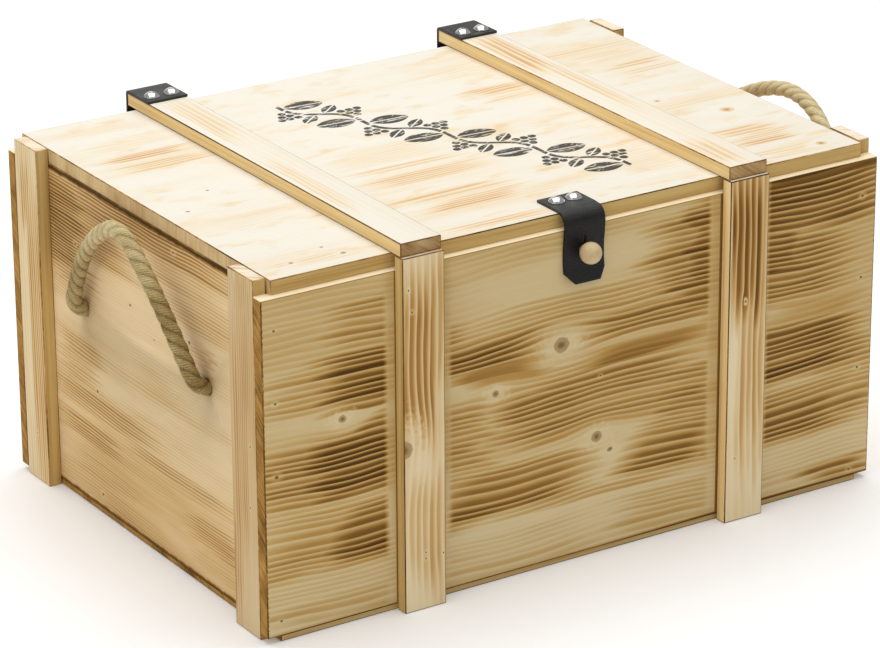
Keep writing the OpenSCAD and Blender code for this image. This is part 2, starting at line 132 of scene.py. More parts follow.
def smooth_route(points, step):
    """Even points on the smooth curve (Catmull-Rom) through the given ones."""
    ends = [2 * points[0] - points[1]] + points + [2 * points[-1] - points[-2]]
    fine = []
    for a, b, c, d in zip(ends, ends[1:], ends[2:], ends[3:]):
        for k in range(12):
            t = k / 12
            fine.append(0.5 * ((2 * b) + (c - a) * t + (2 * a - 5 * b + 4 * c - d) * t ** 2
                               + (3 * b - a - 3 * c + d) * t ** 3))
    fine.append(points[-1])
    travelled = [0.0]
    for p, q in zip(fine, fine[1:]):
        travelled.append(travelled[-1] + (q - p).length)
    count = round(travelled[-1] / step)
    even, k = [], 0
    for i in range(count + 1):
        goal = travelled[-1] * i / count
        while k < len(fine) - 2 and travelled[k + 1] < goal:
            k += 1
        part = (goal - travelled[k]) / max(travelled[k + 1] - travelled[k], 1e-9)
        even.append(fine[k].lerp(fine[k + 1], min(max(part, 0), 1)))
    return even, travelled[-1]

# %% [markdown]
# Laying up the strands
# A laid rope is three strands that wind round each other, each of them a bundle
# of yarns that winds the other way. Three tubes on one helix give the lay, and
# their UV map, round and along each strand, later lets the material draw the
# yarns. Loose fibres stand off the surface as thin blades.

# %% Rope sizes
STRANDS, STRAND_SIDES = 3, 14
LAY = 33 * MM
STRAND_R, STRAND_OUT = 3.95 * MM, 2.2 * MM
SWELL, SWELL_PER_M, SWELL_SHIFT = 0.04, 310, 2.1
FIBRES_PER_MM = 60
FIBRE_ROOT, FIBRE_W, FIBRE_LIFT = 5.2 * MM, 0.1 * MM, 0.3 * MM
SHORT_FIBRE, LONG_FIBRE = 0.8, 2.2
print(f"{STRANDS} strands of {2 * STRAND_R / MM:.1f} mm, one turn in {LAY / MM:.0f} mm")

# %% Winding the strands


def frames_along(line):
    """A steady pair of side directions for each point of a line."""
    side = None
    out = []
    for i, p in enumerate(line):
        ahead = (line[min(i + 1, len(line) - 1)] - line[max(i - 1, 0)]).normalized()
        if side is None:
            side = ahead.orthogonal().normalized()
        side = (side - ahead * side.dot(ahead)).normalized()
        out.append((p, ahead, side, ahead.cross(side)))
    return out


def wind_strands(shape, steady):
    """Adds the three wound strands, with closed ends, and returns the rope's length."""
    uv = shape.loops.layers.uv.new("strand")
    travelled = 0.0
    rows = [[] for _ in range(STRANDS)]
    for i, (p, ahead, side, up) in enumerate(steady):
        if i:
            travelled += (p - steady[i - 1][0]).length
        turn = -2 * math.pi * travelled / LAY
        for k in range(STRANDS):
            a = turn + 2 * math.pi * k / STRANDS
            out = side * math.cos(a) + up * math.sin(a)
            round_it = up * math.cos(a) - side * math.sin(a)
            lean = (ahead - round_it * (2 * math.pi * STRAND_OUT / LAY)).normalized()
            flat = lean.cross(out).normalized()
            middle = p + out * STRAND_OUT
            thick = STRAND_R * (1 + SWELL * math.sin(travelled * SWELL_PER_M + k * SWELL_SHIFT))
            ring = [shape.verts.new(middle + thick * (out * math.cos(b) + flat * math.sin(b)))
                    for b in (2 * math.pi * j / STRAND_SIDES for j in range(STRAND_SIDES))]
            rows[k].append((ring, travelled))
    for k, strand in enumerate(rows):
        for (ring_a, s_a), (ring_b, s_b) in zip(strand, strand[1:]):
            for j in range(STRAND_SIDES):
                j2 = (j + 1) % STRAND_SIDES
                face = shape.faces.new((ring_a[j], ring_b[j], ring_b[j2], ring_a[j2]))
                corners = ((j, s_a), (j, s_b), (j + 1, s_b), (j + 1, s_a))
                for loop, (u, v) in zip(face.loops, corners):
                    loop[uv].uv = (u / STRAND_SIDES, v * 10 + k)
                face.smooth = True
        shape.faces.new(strand[0][0])
        shape.faces.new(list(reversed(strand[-1][0])))
    return travelled


print("strands can be wound")

# %% Loose fibres


def add_fibres(shape, steady, length, chance):
    """Adds loose fibres, each a thin blade that stands off the rope."""
    for _ in range(int(length / MM * FIBRES_PER_MM)):
        p, ahead, side, up = chance.choice(steady[3:-3])
        a = chance.uniform(0, 2 * math.pi)
        out = side * math.cos(a) + up * math.sin(a)
        root = p + out * FIBRE_ROOT
        sweep = (ahead * chance.uniform(-1, 1) + out * chance.uniform(0.15, 0.7)
                 + out.cross(ahead) * chance.uniform(-0.8, 0.8)).normalized()
        reach = chance.uniform(SHORT_FIBRE, LONG_FIBRE) * MM
        width = FIBRE_W * sweep.cross(out).normalized()
        tip = root + sweep * reach + out * FIBRE_LIFT
        shape.faces.new([shape.verts.new(q) for q in (root - width, root + width, tip)])


def lay_up(name, line, seed=None):
    """One rope on a line; with a seed, loose fibres stand off it."""
    shape = bmesh.new()
    steady = frames_along(line)
    length = wind_strands(shape, steady)
    if seed is not None:
        add_fibres(shape, steady, length, random.Random(seed))
    shape.normal_update()
    mesh = bpy.data.meshes.new(name)
    shape.to_mesh(mesh)
    shape.free()
    rope = bpy.data.objects.new(name, mesh)
    bpy.context.collection.objects.link(rope)
    return rope


print("ropes can be laid up")

# %% [markdown]
# The two handles
# Each rope is laid up along its smoothed route, with loose fibres, and takes the place of its
# solid; its length is printed.

# %% The two rope handles
ropes = []
for label, side, arch, lean in (("left", -1, LEFT_ARCH, LEFT_LEAN),
                                ("right", 1, RIGHT_ARCH, RIGHT_LEAN)):
    line, length = smooth_route(handle_route(side, arch, lean), 1.3 * MM)
    rope = lay_up(f"{label}_rope_handle", line, seed=5 + side)
    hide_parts(f"{label}_handle_rope")
    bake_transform(rope)
    [tuple(p) for p in line[::4]] + [tuple(line[-1])]
    ropes.append(rope)
    print(f"{label} rope: {length * 1000:.0f} mm, {len(rope.data.vertices)} points")

# %% [markdown]
# The knots inside
# Behind each hole the rope is tied off with an overhand knot, which the lid
# hides until it is opened. The knot's line winds once round itself and its tail
# hangs down, so it is laid up from the same strands.

# %% Knots behind the end panels
KNOT_STEPS, KNOT_R, KNOT_SWING, KNOT_DEPTH = 22, 8.6, 3.4, 4.6
KNOT_X = PANEL_IN - 11.5


def knot_line(side, y):
    """From the hole inwards, round the trefoil of an overhand knot, and down the tail."""
    middle = Vector((side * KNOT_X, y, HOLE_Z))
    points = [Vector((side * x, y, HOLE_Z)) for x in (256, PANEL_IN)]
    for i in range(1, KNOT_STEPS):
        t = 2 * math.pi * i / KNOT_STEPS
        around = KNOT_R + KNOT_SWING * math.cos(1.5 * t)
        points.append(middle + Vector((side * KNOT_DEPTH * math.sin(1.5 * t),
                                       around * math.sin(t) * (1 if y > 0 else -1),
                                       around * math.cos(t))))
    points += [middle + Vector((side * -3, 0, -12)), middle + Vector((side * -2, 1, -20)),
               middle + Vector((0, 1, -27))]
    return [p * MM for p in points]


for label, side in (("left", -1), ("right", 1)):
    parts = [lay_up(f"{label}_{place}_knot", smooth_route(knot_line(side, y), 1.6 * MM)[0])
             for place, y in (("rear", HOLE_Y), ("front", -HOLE_Y))]
    pick(*parts)
    bpy.ops.object.join()
    knots = parts[0]
    knots.name = f"{label}_knots"
    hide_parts(f"{label}_rope_knots")
    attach(knots, "case")
    ropes.append(knots)
    print(knots.name, len(knots.data.vertices), "points")

# %% [markdown]
# Helpers for finishes
# Every finish is drawn by nodes. A node's output is wrapped as a signal, which
# the plain signs + - * / add up and scale, so a recipe reads like a sum. The
# other helpers give a paint colour, a noise, and a named group that several
# finishes share.

# %% Signals


def paint(red, green, blue):
    """A colour read off a paint card, 0 to 255, as the light values Blender mixes."""
    return tuple((c / 255 / 12.92) if c <= 10 else ((c / 255 + 0.055) / 1.055) ** 2.4
                 for c in (red, green, blue)) + (1.0,)


class Signal:
    """What one node puts out: a value, a colour or a vector."""

    def __init__(self, socket):
        self.socket = socket

    def __add__(self, other):
        return calc("ADD", self, other)

    def __sub__(self, other):
        return calc("SUBTRACT", self, other)

    def __rsub__(self, other):
        return calc("SUBTRACT", other, self)

    def __mul__(self, other):
        return calc("MULTIPLY", self, other)

    def __truediv__(self, other):
        return calc("DIVIDE", self, other)

    def __abs__(self):
        return calc("ABSOLUTE", self)


def plug(socket, value):
    """Puts a signal, a number or a colour into a socket."""
    if isinstance(value, Signal):
        socket.id_data.links.new(value.socket, socket)
    else:
        socket.default_value = value


def tree_of(values):
    """The node tree that the first signal among some values comes from."""
    return next(v.socket.id_data for v in values if isinstance(v, Signal))


def wire(kind, *values, **settings):
    """A new node beside its signals' own, with its sockets filled in order."""
    node = tree_of(values).nodes.new("ShaderNode" + kind)
    for name, setting in settings.items():
        setattr(node, name, setting)
    for socket, value in zip(node.inputs, values):
        plug(socket, value)
    return node


def calc(operation, *values, **settings):
    return Signal(wire("Math", *values, operation=operation, **settings).outputs[0])


print("signals ready")

# %% Masks and vectors


def calc_vector(operation, a, b):
    return Signal(wire("VectorMath", a, b, operation=operation).outputs[0])


def strongest(first, *others):
    """The highest of several masks, place by place."""
    for other in others:
        first = calc("MAXIMUM", first, other)
    return first


def between(value, low, high, out_low=0.0, out_high=1.0):
    """A smooth step: out_low up to low, out_high from high on."""
    return Signal(wire("MapRange", value, low, high, out_low, out_high,
                       interpolation_type="SMOOTHSTEP").outputs[0])


def split(vector):
    return [Signal(axis) for axis in wire("SeparateXYZ", vector).outputs]


def join(x, y, z):
    return Signal(wire("CombineXYZ", x, y, z).outputs[0])


print("masks and vectors ready")

# %% Noise and colours


def noise(vector, scale, detail=2.0):
    node = wire("TexNoise", vector)
    node.inputs["Scale"].default_value = scale
    node.inputs["Detail"].default_value = detail
    return Signal(node.outputs["Fac"])


def streaks(vector, sizes, detail=2.0):
    """Noise that is drawn out along an axis; sizes are its waves per metre each way."""
    drawn = wire("Mapping", vector)
    drawn.inputs["Scale"].default_value = sizes
    return noise(Signal(drawn.outputs[0]), 1.0, detail)


def blend_colours(how_much, first, second):
    node = wire("Mix", how_much, data_type="RGBA")
    for place, colour in ((6, first), (7, second)):
        plug(node.inputs[place], colour)
    return Signal(node.outputs[2])


def colour_scale(value, places, shades):
    node = wire("ValToRGB", value)
    scale = node.color_ramp
    while len(scale.elements) < len(places):
        scale.elements.new(0.5)
    for mark, place, shade in zip(scale.elements, places, shades):
        mark.position, mark.color = place, shade
    return Signal(node.outputs[0])


print("noise and colours ready")

# %% Groups and shaders


def new_group(name, takes, gives):
    """A named effect with its own inputs and outputs, used by several finishes."""
    kinds = {"v": "NodeSocketVector", "f": "NodeSocketFloat"}
    tree = bpy.data.node_groups.new(name, "ShaderNodeTree")
    for label, kind, value in takes:
        socket = tree.interface.new_socket(label, in_out="INPUT", socket_type=kinds[kind])
        socket.default_value = value
    for label, kind in gives:
        tree.interface.new_socket(label, in_out="OUTPUT", socket_type=kinds[kind])
    inside = tree.nodes.new("NodeGroupInput").outputs
    return tree, {s.name: Signal(s) for s in inside}, tree.nodes.new("NodeGroupOutput").inputs


def use(group, **values):
    """Places a group in a finish; a space in a socket's label is written as _."""
    node = tree_of(values.values()).nodes.new("ShaderNodeGroup")
    node.node_tree = group
    for label, value in values.items():
        plug(node.inputs[label.replace("_", " ")], value)
    return {output.name: Signal(output) for output in node.outputs}


def new_finish(name):
    """A new material, the sockets of its shader, and the place on the piece in metres."""
    material = bpy.data.materials.new(name)
    material.use_nodes = True
    nodes = material.node_tree.nodes
    where = Signal(nodes.new("ShaderNodeTexCoord").outputs["Object"])
    return material, nodes["Principled BSDF"].inputs, where


def set_shader(shader, colour, roughness, shine=0.5, height=None, depth=0.0, **more):
    """Fills a shader's sockets; a height, where given, is raised by a depth in metres."""
    values = {"Base Color": colour, "Roughness": roughness, "Specular IOR Level": shine}
    values.update((label.replace("_", " "), value) for label, value in more.items())
    for label, value in values.items():
        plug(shader[label], value)
    if height:
        bump = tree_of([height]).nodes.new("ShaderNodeBump")
        for label, value in (("Strength", 1.0), ("Distance", depth), ("Height", height)):
            plug(bump.inputs[label], value)
        plug(shader["Normal"], Signal(bump.outputs[0]))


print("groups and shaders ready")

# %% [markdown]
# Growth rings
# Pine shows a line for each year. Under the flame its late wood darkens as a
# band with one crisp side that fades towards the next line. On a sawn board the
# bands run nearly straight, drift together a little, and differ in width and
# strength. The group works in board coordinates: X along the grain, Y across
# the face, Z into the wood, so the same bands come out slanted on thin edges.

# %% The ring group
rings, take, give = new_group(
    "growth_rings",
    (("Vector", "v", (0, 0, 0)), ("Spacing", "f", 0.0055), ("Slant", "f", 0.6),
     ("Drift", "f", 0.03), ("Seed", "f", 0.0)),
    (("Band", "f"), ("Year", "f"), ("Fibre", "f"), ("Broad", "f")))
moved = calc_vector("ADD", take["Vector"],
                    join(take["Seed"] * 3.7, take["Seed"] * 1.3, take["Seed"]))
axes = split(take["Vector"])
drift = streaks(moved, (4.5, 2.6, 2.6), 1.0) - 0.5
wander = streaks(moved, (16, 70, 70), 1.0) - 0.5
across = axes[2] * take["Slant"] + (wander * 0.0035 + (drift * take["Drift"] + axes[1]))
uneven = noise(join(0.0, across + take["Seed"], 0.0), 26, 1.0)
phase = uneven * 4.0 + across / take["Spacing"]
part = calc("FRACT", phase)
year = rings.nodes.new("ShaderNodeTexWhiteNoise")
year.noise_dimensions = "1D"
plug(year.inputs["W"], calc("FLOOR", phase) + take["Seed"])
plug(give["Band"], between(part, 0.0, 0.16) * between(part, 0.34, 1.0, 1, 0))
plug(give["Year"], Signal(year.outputs["Value"]))
plug(give["Fibre"], streaks(moved, (24, 1100, 1100)))
plug(give["Broad"], streaks(moved, (5, 30, 30)))
print("ring group:", len(rings.nodes), "nodes")

# %% [markdown]
# Knots
# Where a branch left the trunk the rings flow round it. The group squeezes the
# board's coordinates towards the knot's middle, so every band drawn afterwards
# bows round it. It gives a mask that grows towards the knot's heart, and one for
# the smooth pale wood about it, which the flame leaves clean.

# %% The knot group


def distance(x, y, squash_x, size):
    """How far a point is from a middle, in sizes, on ellipses long in X."""
    x = x * squash_x
    return calc("SQRT", x * x + y * y) / size


knot, take, give = new_group(
    "knot_in_board",
    (("Vector", "v", (0, 0, 0)), ("Middle", "v", (0, 0, 0)), ("Size", "f", 0.005),
     ("Core before", "f", 0.0), ("Halo before", "f", 0.0), ("Halo size", "f", 3.0)),
    (("Vector", "v"), ("Core", "f"), ("Halo", "f")))
at = split(take["Vector"])
mid = split(take["Middle"])
dx, dy = at[0] - mid[0], at[1] - mid[1]
pull = distance(dx, dy, 0.5, take["Size"] * 2.4)
pull = calc("EXPONENT", pull * pull * -1.0)
plug(give["Vector"], join(at[0], dy * (pull * -0.7 + 1.0) + mid[1], at[2]))
lumpy = noise(take["Vector"], 260, 1.0) - 0.5
near = lumpy * 0.3 + distance(dx, dy, 0.92, take["Size"])
core = calc("SUBTRACT", 1.0, near, use_clamp=True)
far = lumpy * 0.9 + distance(dx, dy, 0.6, take["Size"] * take["Halo size"])
plug(give["Core"], strongest(core, take["Core before"]))
plug(give["Halo"], strongest(between(far, 0.3, 1.1, 1, 0), take["Halo before"]))

# %% [markdown]
# Scorched patches
# The boards were flamed with a torch, held still here and there, so brown
# patches lie along the grain and fade out. One patch is a soft box with a
# middle, a reach each way and a strength; the strongest at a place wins.

# %% The patch group
patch, take, give = new_group(
    "scorched_patch",
    (("Vector", "v", (0, 0, 0)), ("Middle", "v", (0, 0, 0)), ("Reach", "v", (0.05, 0.02, 1)),
     ("Strength", "f", 1.0), ("Before", "f", 0.0)),
    (("Char", "f"),))
away = calc_vector("SUBTRACT", take["Vector"], take["Middle"])
share = split(calc_vector("DIVIDE", away, take["Reach"]))
lengthwise = between(abs(share[0]), 0.3, 1.0, 1, 0)
crosswise = between(abs(share[1]), 0.55, 1.0, 1, 0)
plug(give["Char"], strongest(lengthwise * crosswise * take["Strength"], take["Before"]))

# %% [markdown]
# Nail marks
# A brad leaves a small dark pit, and the flame leaves the wood round its cold
# steel pale.

# %% The nail group
nail, take, give = new_group(
    "nail_mark",
    (("Vector", "v", (0, 0, 0)), ("Place", "v", (0, 0, 0)), ("Size", "f", 0.0013),
     ("Pit before", "f", 0.0), ("Pale before", "f", 0.0)),
    (("Pit", "f"), ("Pale", "f")))
at = split(take["Vector"])
mid = split(take["Place"])
near = distance(at[0] - mid[0], at[1] - mid[1], 0.8, take["Size"])
plug(give["Pit"], strongest(between(near, 0.4, 1.0, 1, 0), take["Pit before"]))
plug(give["Pale"], strongest(between(near, 1.2, 3.6, 1, 0), take["Pale before"]))
print("groups:", [g.name for g in bpy.data.node_groups])

# %% [markdown]
# A flamed board's finish
# One recipe serves every board, with its own lists of patches, broad washes,
# knots and nails. Unburnt pine is pale; where the flame went, the bands turn
# brown first and the wood between them follows. All colours come from one
# scale, from clean to charred.

# %% Directions and tones
ORDER = {"x": (0, 2, 1), "y": (1, 2, 0), "z": (2, 0, 1), "xy": (0, 1, 2), "yx": (1, 0, 2),
         "zy": (2, 1, 0)}
TONES = {
    "case": (paint(216, 196, 152), paint(200, 170, 113), paint(184, 144, 78),
             paint(142, 102, 44), paint(86, 56, 16)),
    "end": (paint(232, 206, 160), paint(212, 176, 120), paint(172, 130, 70),
            paint(122, 88, 38), paint(74, 50, 18)),
    "end_batten": (paint(216, 192, 150), paint(200, 166, 114), paint(174, 130, 76),
                   paint(128, 90, 42), paint(78, 52, 20)),
    "batten": (paint(232, 214, 174), paint(214, 180, 124), paint(184, 138, 74),
               paint(136, 94, 40), paint(80, 54, 18)),
    "lid": (paint(232, 226, 212), paint(230, 212, 180), paint(220, 184, 138),
            paint(190, 142, 92), paint(136, 94, 52))}

BROWN_HEART = (paint(184, 156, 108), paint(154, 126, 80), paint(168, 140, 92),
               paint(148, 118, 72), paint(96, 72, 36))
LID_HEART = (paint(232, 210, 174), paint(216, 182, 136), paint(228, 200, 158),
             paint(214, 176, 128), paint(168, 126, 80))
print("grains:", list(ORDER), "tones:", list(TONES))

# %% Knots, patches and nails on a board


def add_knots(knots, vector):
    """Bends the grain round each knot; gives the bent place, the hearts and the halos."""
    core, halo = 0.0, 0.0
    for x, y, size, *halo_size in knots:
        vector, core, halo = use(
            knot, Vector=vector, Middle=(x * MM, y * MM, 0), Size=size * MM, Core_before=core,
            Halo_before=halo, Halo_size=halo_size[0] if halo_size else 2.6).values()
    return vector, core, halo


def add_patches(spots, where, total):
    """Lays scorched patches over what is there; each has a middle, reaches, a strength."""
    for x, y, reach_x, reach_y, strength in spots:
        total = use(patch, Vector=where, Middle=(x * MM, y * MM, 0), Strength=strength,
                    Reach=(reach_x * MM, reach_y * MM, 1), Before=total)["Char"]
    return total


def add_nails(nails, where):
    pit, pale = 0.0, 0.0
    for x, y, *size in nails:
        pit, pale = use(nail, Vector=where, Place=(x * MM, y * MM, 0), Pit_before=pit,
                        Pale_before=pale, Size=(size[0] if size else 1.4) * MM).values()
    return pit, pale


print("knots, patches and nails ready")

# %% The board recipe


def board_finish(name, grain, tones, patches=(), washes=(), knots=(), nails=(),
                 spacing=0.0052, slant=0.6, drift=0.03, seed=0.0, line_show=0.14, haze=0.0,
                 outer=None, extra=None, painted=None):
    """A flamed pine finish. grain names the axes along and across the face. extra adds what
    one face alone has, and outer is then the two depths, in metres, between which its
    flamed skin begins: inside, the wood is raw."""
    material, shader, where = new_finish(name)
    axes = split(where)
    flat = join(*(axes[k] for k in ORDER[grain]))
    place = split(flat)
    vector, core, halo = add_knots(knots, flat)
    lines = use(rings, Vector=vector, Spacing=spacing, Slant=slant, Drift=drift, Seed=seed)
    cloud = lines["Broad"] - 0.5
    frayed = join((lines["Year"] - 0.5) * 0.020 + (cloud * 0.05 + place[0]),
                  cloud * 0.016 + split(vector)[1], 0.0)
    char = add_patches(patches, frayed, between(lines["Broad"], 0.5, 0.75) * haze)
    wash = add_patches(washes, frayed, 0.0)
    pit, pale = add_nails(nails, flat)
    clean = lines["Year"] * 0.28 + 0.78
    if extra:
        char, wash, edge = extra(place, char, wash)
        skin = between(place[2], *outer)
        clean = clean * skin
    if knots:
        clean = clean * (halo * -0.84 + 1.0)
    if nails:
        clean = clean * (pale * -0.4 + 1.0)
    char = char * clean
    shown = calc("POWER", lines["Band"], char * -0.5 + 1.0) * 0.68 + 0.22
    shy = between(lines["Broad"], 0.35, 0.62) * line_show
    depth = lines["Band"] * shy + strongest(char * shown, clean * wash)
    depth = cloud * 0.22 + ((lines["Fibre"] - 0.5) * 0.07 + depth)
    if extra:
        depth = strongest(depth, edge * skin)
    colour = colour_scale(depth, (0.0, 0.22, 0.45, 0.7, 1.0), TONES[tones])
    if knots:
        heart = colour_scale(core, (0.0, 0.12, 0.3, 0.55, 0.8),
                             LID_HEART if tones == "lid" else BROWN_HEART)
        colour = blend_colours(between(core, 0.0, 0.22, 0.0, 0.85), colour, heart)
    if nails:
        colour = blend_colours(pit * 0.9, colour,
                               paint(158, 130, 100) if tones == "lid" else paint(84, 64, 38))
    if painted:
        colour = painted(place, colour)
    set_shader(shader, colour, between(depth, 0.0, 1.0, 0.6, 0.74), 0.12,
               height=lines["Band"] * 0.5 + lines["Fibre"] * 0.5, depth=0.00018)
    return material


print("board recipe ready")

# %% [markdown]
# The faces of this box
# The front was flamed hardest, in bands along the grain that stop short of the
# battens, where the torch met their edges. The ends are calmer, and the lid is
# almost clean, with a few toasted streaks.

# %% Beside the battens
BATTEN_X, BATTEN_HALF = 143, 17.5
INNER_EDGE, OUTER_EDGE = (BATTEN_X - BATTEN_HALF) * MM, (BATTEN_X + BATTEN_HALF) * MM
SEAM, SEAM_FADE = 1.7 * MM, 0.2 * MM
(_, WALL_IN, WALL_FOOT), (WALL_END, WALL_OUT, WALL_TOP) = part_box("back_panel")


def beside_battens(place, char, wash):
    """Clean margins beside the two upright battens, and dark upper and lower edges."""
    away = abs(place[0])
    margin = strongest(between(away, INNER_EDGE - 0.014, INNER_EDGE - 0.007, 1.0, 0.0),
                       between(away, OUTER_EDGE + 0.004, OUTER_EDGE + 0.0115))
    low = (between(place[1], WALL_FOOT + 0.0006, WALL_FOOT + 0.0032, 1.0, 0.0)
           * between(place[0], 0.0, OUTER_EDGE, 0.3, 1.0))
    top = between(place[1], WALL_TOP - 0.0023, WALL_TOP - 0.0003, 0.0, 0.75)
    ragged = streaks(join(*place), (0, 420, 0)) * 0.0022
    end = between(away + ragged, WALL_END - 0.0004, WALL_END + 0.0008)
    seam = strongest(between(place[0] * -1.0, OUTER_EDGE, OUTER_EDGE + SEAM, 0.75, 0.0),
                     between(place[0], INNER_EDGE - SEAM, INNER_EDGE, 0.0, 0.75))
    reach = BATTEN_HALF * MM + SEAM
    beside = between(abs(away - BATTEN_X * MM), reach, reach + SEAM_FADE, 1.0, 0.0)
    warm = margin * -0.08 + between(place[1], 0.02, 0.11, -0.06, 0.20)
    return (char * margin, strongest(wash * margin, warm),
            strongest(low, top, end, seam * beside))


print(f"walls end at {WALL_END:.4f}, {WALL_OUT:.4f} and {WALL_TOP:.4f} m")

# %% Front and back panel finishes
FRONT_PATCHES = (
    # left of the left batten
    (-172, 232, 66, 22, 0.6), (-172, 190, 92, 28, 1.02), (-178, 124, 86, 32, 1.0),
    (-190, 186, 150, 24, 0.56), (-172, 168, 74, 9, 0.74), (-170, 150, 32, 12, 0.8),
    (-190, 124, 150, 32, 0.6), (-174, 70, 80, 28, 1.0), (-190, 72, 150, 30, 0.62),
    (-215, 16, 80, 12, 0.3),
    # between the battens
    (0, 202, 150, 15, 0.46), (112, 224, 88, 38, 0.74), (116, 226, 44, 40, 0.98),
    (-92, 182, 86, 16, 0.86), (66, 180, 90, 15, 0.72), (112, 190, 54, 20, 0.82),
    (0, 150, 150, 16, 0.42), (22, 126, 118, 34, 0.66), (-30, 130, 64, 18, 0.74),
    (-104, 118, 40, 40, 0.5), (-66, 72, 98, 24, 0.84), (80, 76, 62, 26, 0.74),
    (92, 112, 50, 28, 0.68), (0, 50, 130, 5, 0.42), (80, 26, 70, 18, 0.3),
    (-60, 24, 90, 16, 0.16),
    # right of the right batten
    (196, 246, 130, 34, 1.04), (184, 190, 96, 36, 0.74), (176, 206, 44, 20, 0.9),
    (196, 122, 96, 30, 0.98), (188, 72, 96, 27, 0.78), (240, 92, 60, 40, 0.6),
    (240, 16, 44, 10, 0.7))
FRONT_WASHES = (
    (-76, 163, 56, 11, 0.6), (56, 159, 80, 8, 0.6), (215, 154, 70, 9, 0.34),
    (20, 104, 90, 6, 0.26), (235, 175, 60, 60, 0.16), (225, 264, 110, 8, 0.9))
FRONT_KNOTS = ((-17.8, 175.1, 6.8, 2.2), (-75.4, 150, 3.0, 3.0), (14, 95, 4.8, 2.6),
               (26, 84, 2.6, 3.0), (-205.2, 160.8, 3.2, 3.0))
FRONT_NAILS = ((-260, 240, 1.2), (-260, 185, 1.2), (-260, 129, 1.7), (-258.5, 16.5, 1.2),
               (257, 235, 1.3), (258, 169, 1.3), (257, 95, 1.3), (252, 10.6, 1.2), (17, 143, 0.9))
front_wood = board_finish("front_pine", "x", "case", FRONT_PATCHES, FRONT_WASHES, FRONT_KNOTS,
                          FRONT_NAILS, spacing=0.0049, drift=0.034, seed=1.0,
                          line_show=0.15, outer=(-0.1840, -0.1850), extra=beside_battens)
back_wood = board_finish(
    "back_pine", "x", "case",
    ((-176, 226, 100, 30, 0.8), (-172, 160, 80, 34, 0.9), (-180, 74, 110, 28, 0.8),
     (-116, 232, 90, 24, 0.7), (90, 236, 80, 22, 0.6), (116, 178, 120, 34, 0.85),
     (-100, 150, 70, 26, 0.7), (-40, 96, 150, 24, 0.7), (110, 60, 120, 26, 0.85),
     (180, 232, 110, 28, 0.95), (184, 170, 80, 22, 0.6), (176, 112, 100, 26, 0.9),
     (200, 46, 80, 18, 0.6)),
    ((20, 204, 100, 10, 0.36), (-220, 116, 60, 10, 0.3), (30, 132, 90, 8, 0.3)),
    ((40, 190, 5.5), (-190, 124, 3.4), (-66, 118, 2.6, 4)),
    ((-257, 200), (-258, 92), (257, 120), (257, 30)), seed=7.0, line_show=0.16,
    outer=(0.1840, 0.1850), extra=beside_battens)
bottom_wood = board_finish("bottom_pine", "xy", "end", (), (), ((-120, 60, 5.0), (150, -90, 3.6)),
                           (), spacing=0.006, seed=21.0, line_show=0.2)
print("front patches:", len(FRONT_PATCHES), "knots:", len(FRONT_KNOTS))

# %% [markdown]
# A stencilled vine
# Crates like this are stencilled. A running vine suits a wine box: a wavy stem,
# pointed leaves cut through at the midrib, since a stencil needs its bridges,
# and bunches of grapes. It repeats every 75 mm, and all of it is worked out from
# circles in a plane of millimetres.

# %% The vine group
vine, take, give = new_group("vine_stencil", (("Along", "f", 0.0), ("Across", "f", 0.0)),
                             (("Paint", "f"),))
REPEAT, SWAY, SOFT = 75.0, 7.0, 0.25
u = (calc("FRACT", take["Along"] / REPEAT) - 0.5) * REPEAT
v = take["Across"]
off_stem = abs(calc("SINE", u * (2 * math.pi / REPEAT)) * -SWAY + v)
bridges = between(abs(abs(u) - 28.0), 0.9, 1.3)
stem = between(off_stem, 2.0, 2.4, 1, 0) * bridges


def disc(x, y, radius):
    return between(distance(x, y, 1.0, 1.0), radius - SOFT, radius + SOFT, 1, 0)


def leaf(at_u, at_v, turn, length, width):
    """A pointed leaf, the overlap of two circles, parted at its midrib."""
    radius = (length ** 2 / 4 + width ** 2 / 4) / width
    c, s = math.cos(math.radians(turn)), math.sin(math.radians(turn))
    du, dv = u - at_u, v - at_v
    crosswise = abs(du * -s + dv * c)
    shape = disc(du * c + dv * s, crosswise + (radius - width / 2), radius)
    return shape * between(crosswise, 0.5, 0.9)


GRAPES = ((11.4, 13.2), (18.7, 13.4), (26.0, 13.2), (15.1, 19.6), (22.3, 19.6), (18.7, 25.8))
motifs = []
for half in (1, -1):
    motifs += [leaf(half * -21.5, half * 13.0, 55, 34, 19),
               leaf(half * 0.5, half * 14.0, 98, 21, 11)]
    motifs += [disc(u - half * a, v - half * b, 3.3) for a, b in GRAPES]
ends = between(abs(take["Along"]), 150, 151, 1, 0)
plug(give["Paint"], strongest(stem, *motifs) * ends)
print("vine:", len(vine.nodes), "nodes")

# %% [markdown]
# Ends, lid and battens
# The ends are toasted along the foot, and dark along the top, partly scorched and partly a
# painted shadow of the lid's overhang. The lid takes the stencil over its finish, with the paint
# worn through in scratches. Each batten has a few patches of its own and straighter bands,
# because narrow strips are cut along the grain.

# %% End panel finishes


def under_lid(place, char, wash):
    """A toasted foot on an end panel, and a dark top that is partly scorch and partly a painted
    shadow of the lid's overhang.
    """
    height = streaks(join(*place), (90, 0, 0)) * 0.0035 + place[1]
    low = between(height, WALL_FOOT + 0.0022, WALL_FOOT + 0.0070, 0.9, 0.0)
    # Along the top: scorch and a painted shadow of the lid's overhang.
    top = between(height, WALL_TOP - 0.0045, WALL_TOP)
    return char, wash, strongest(low, top)


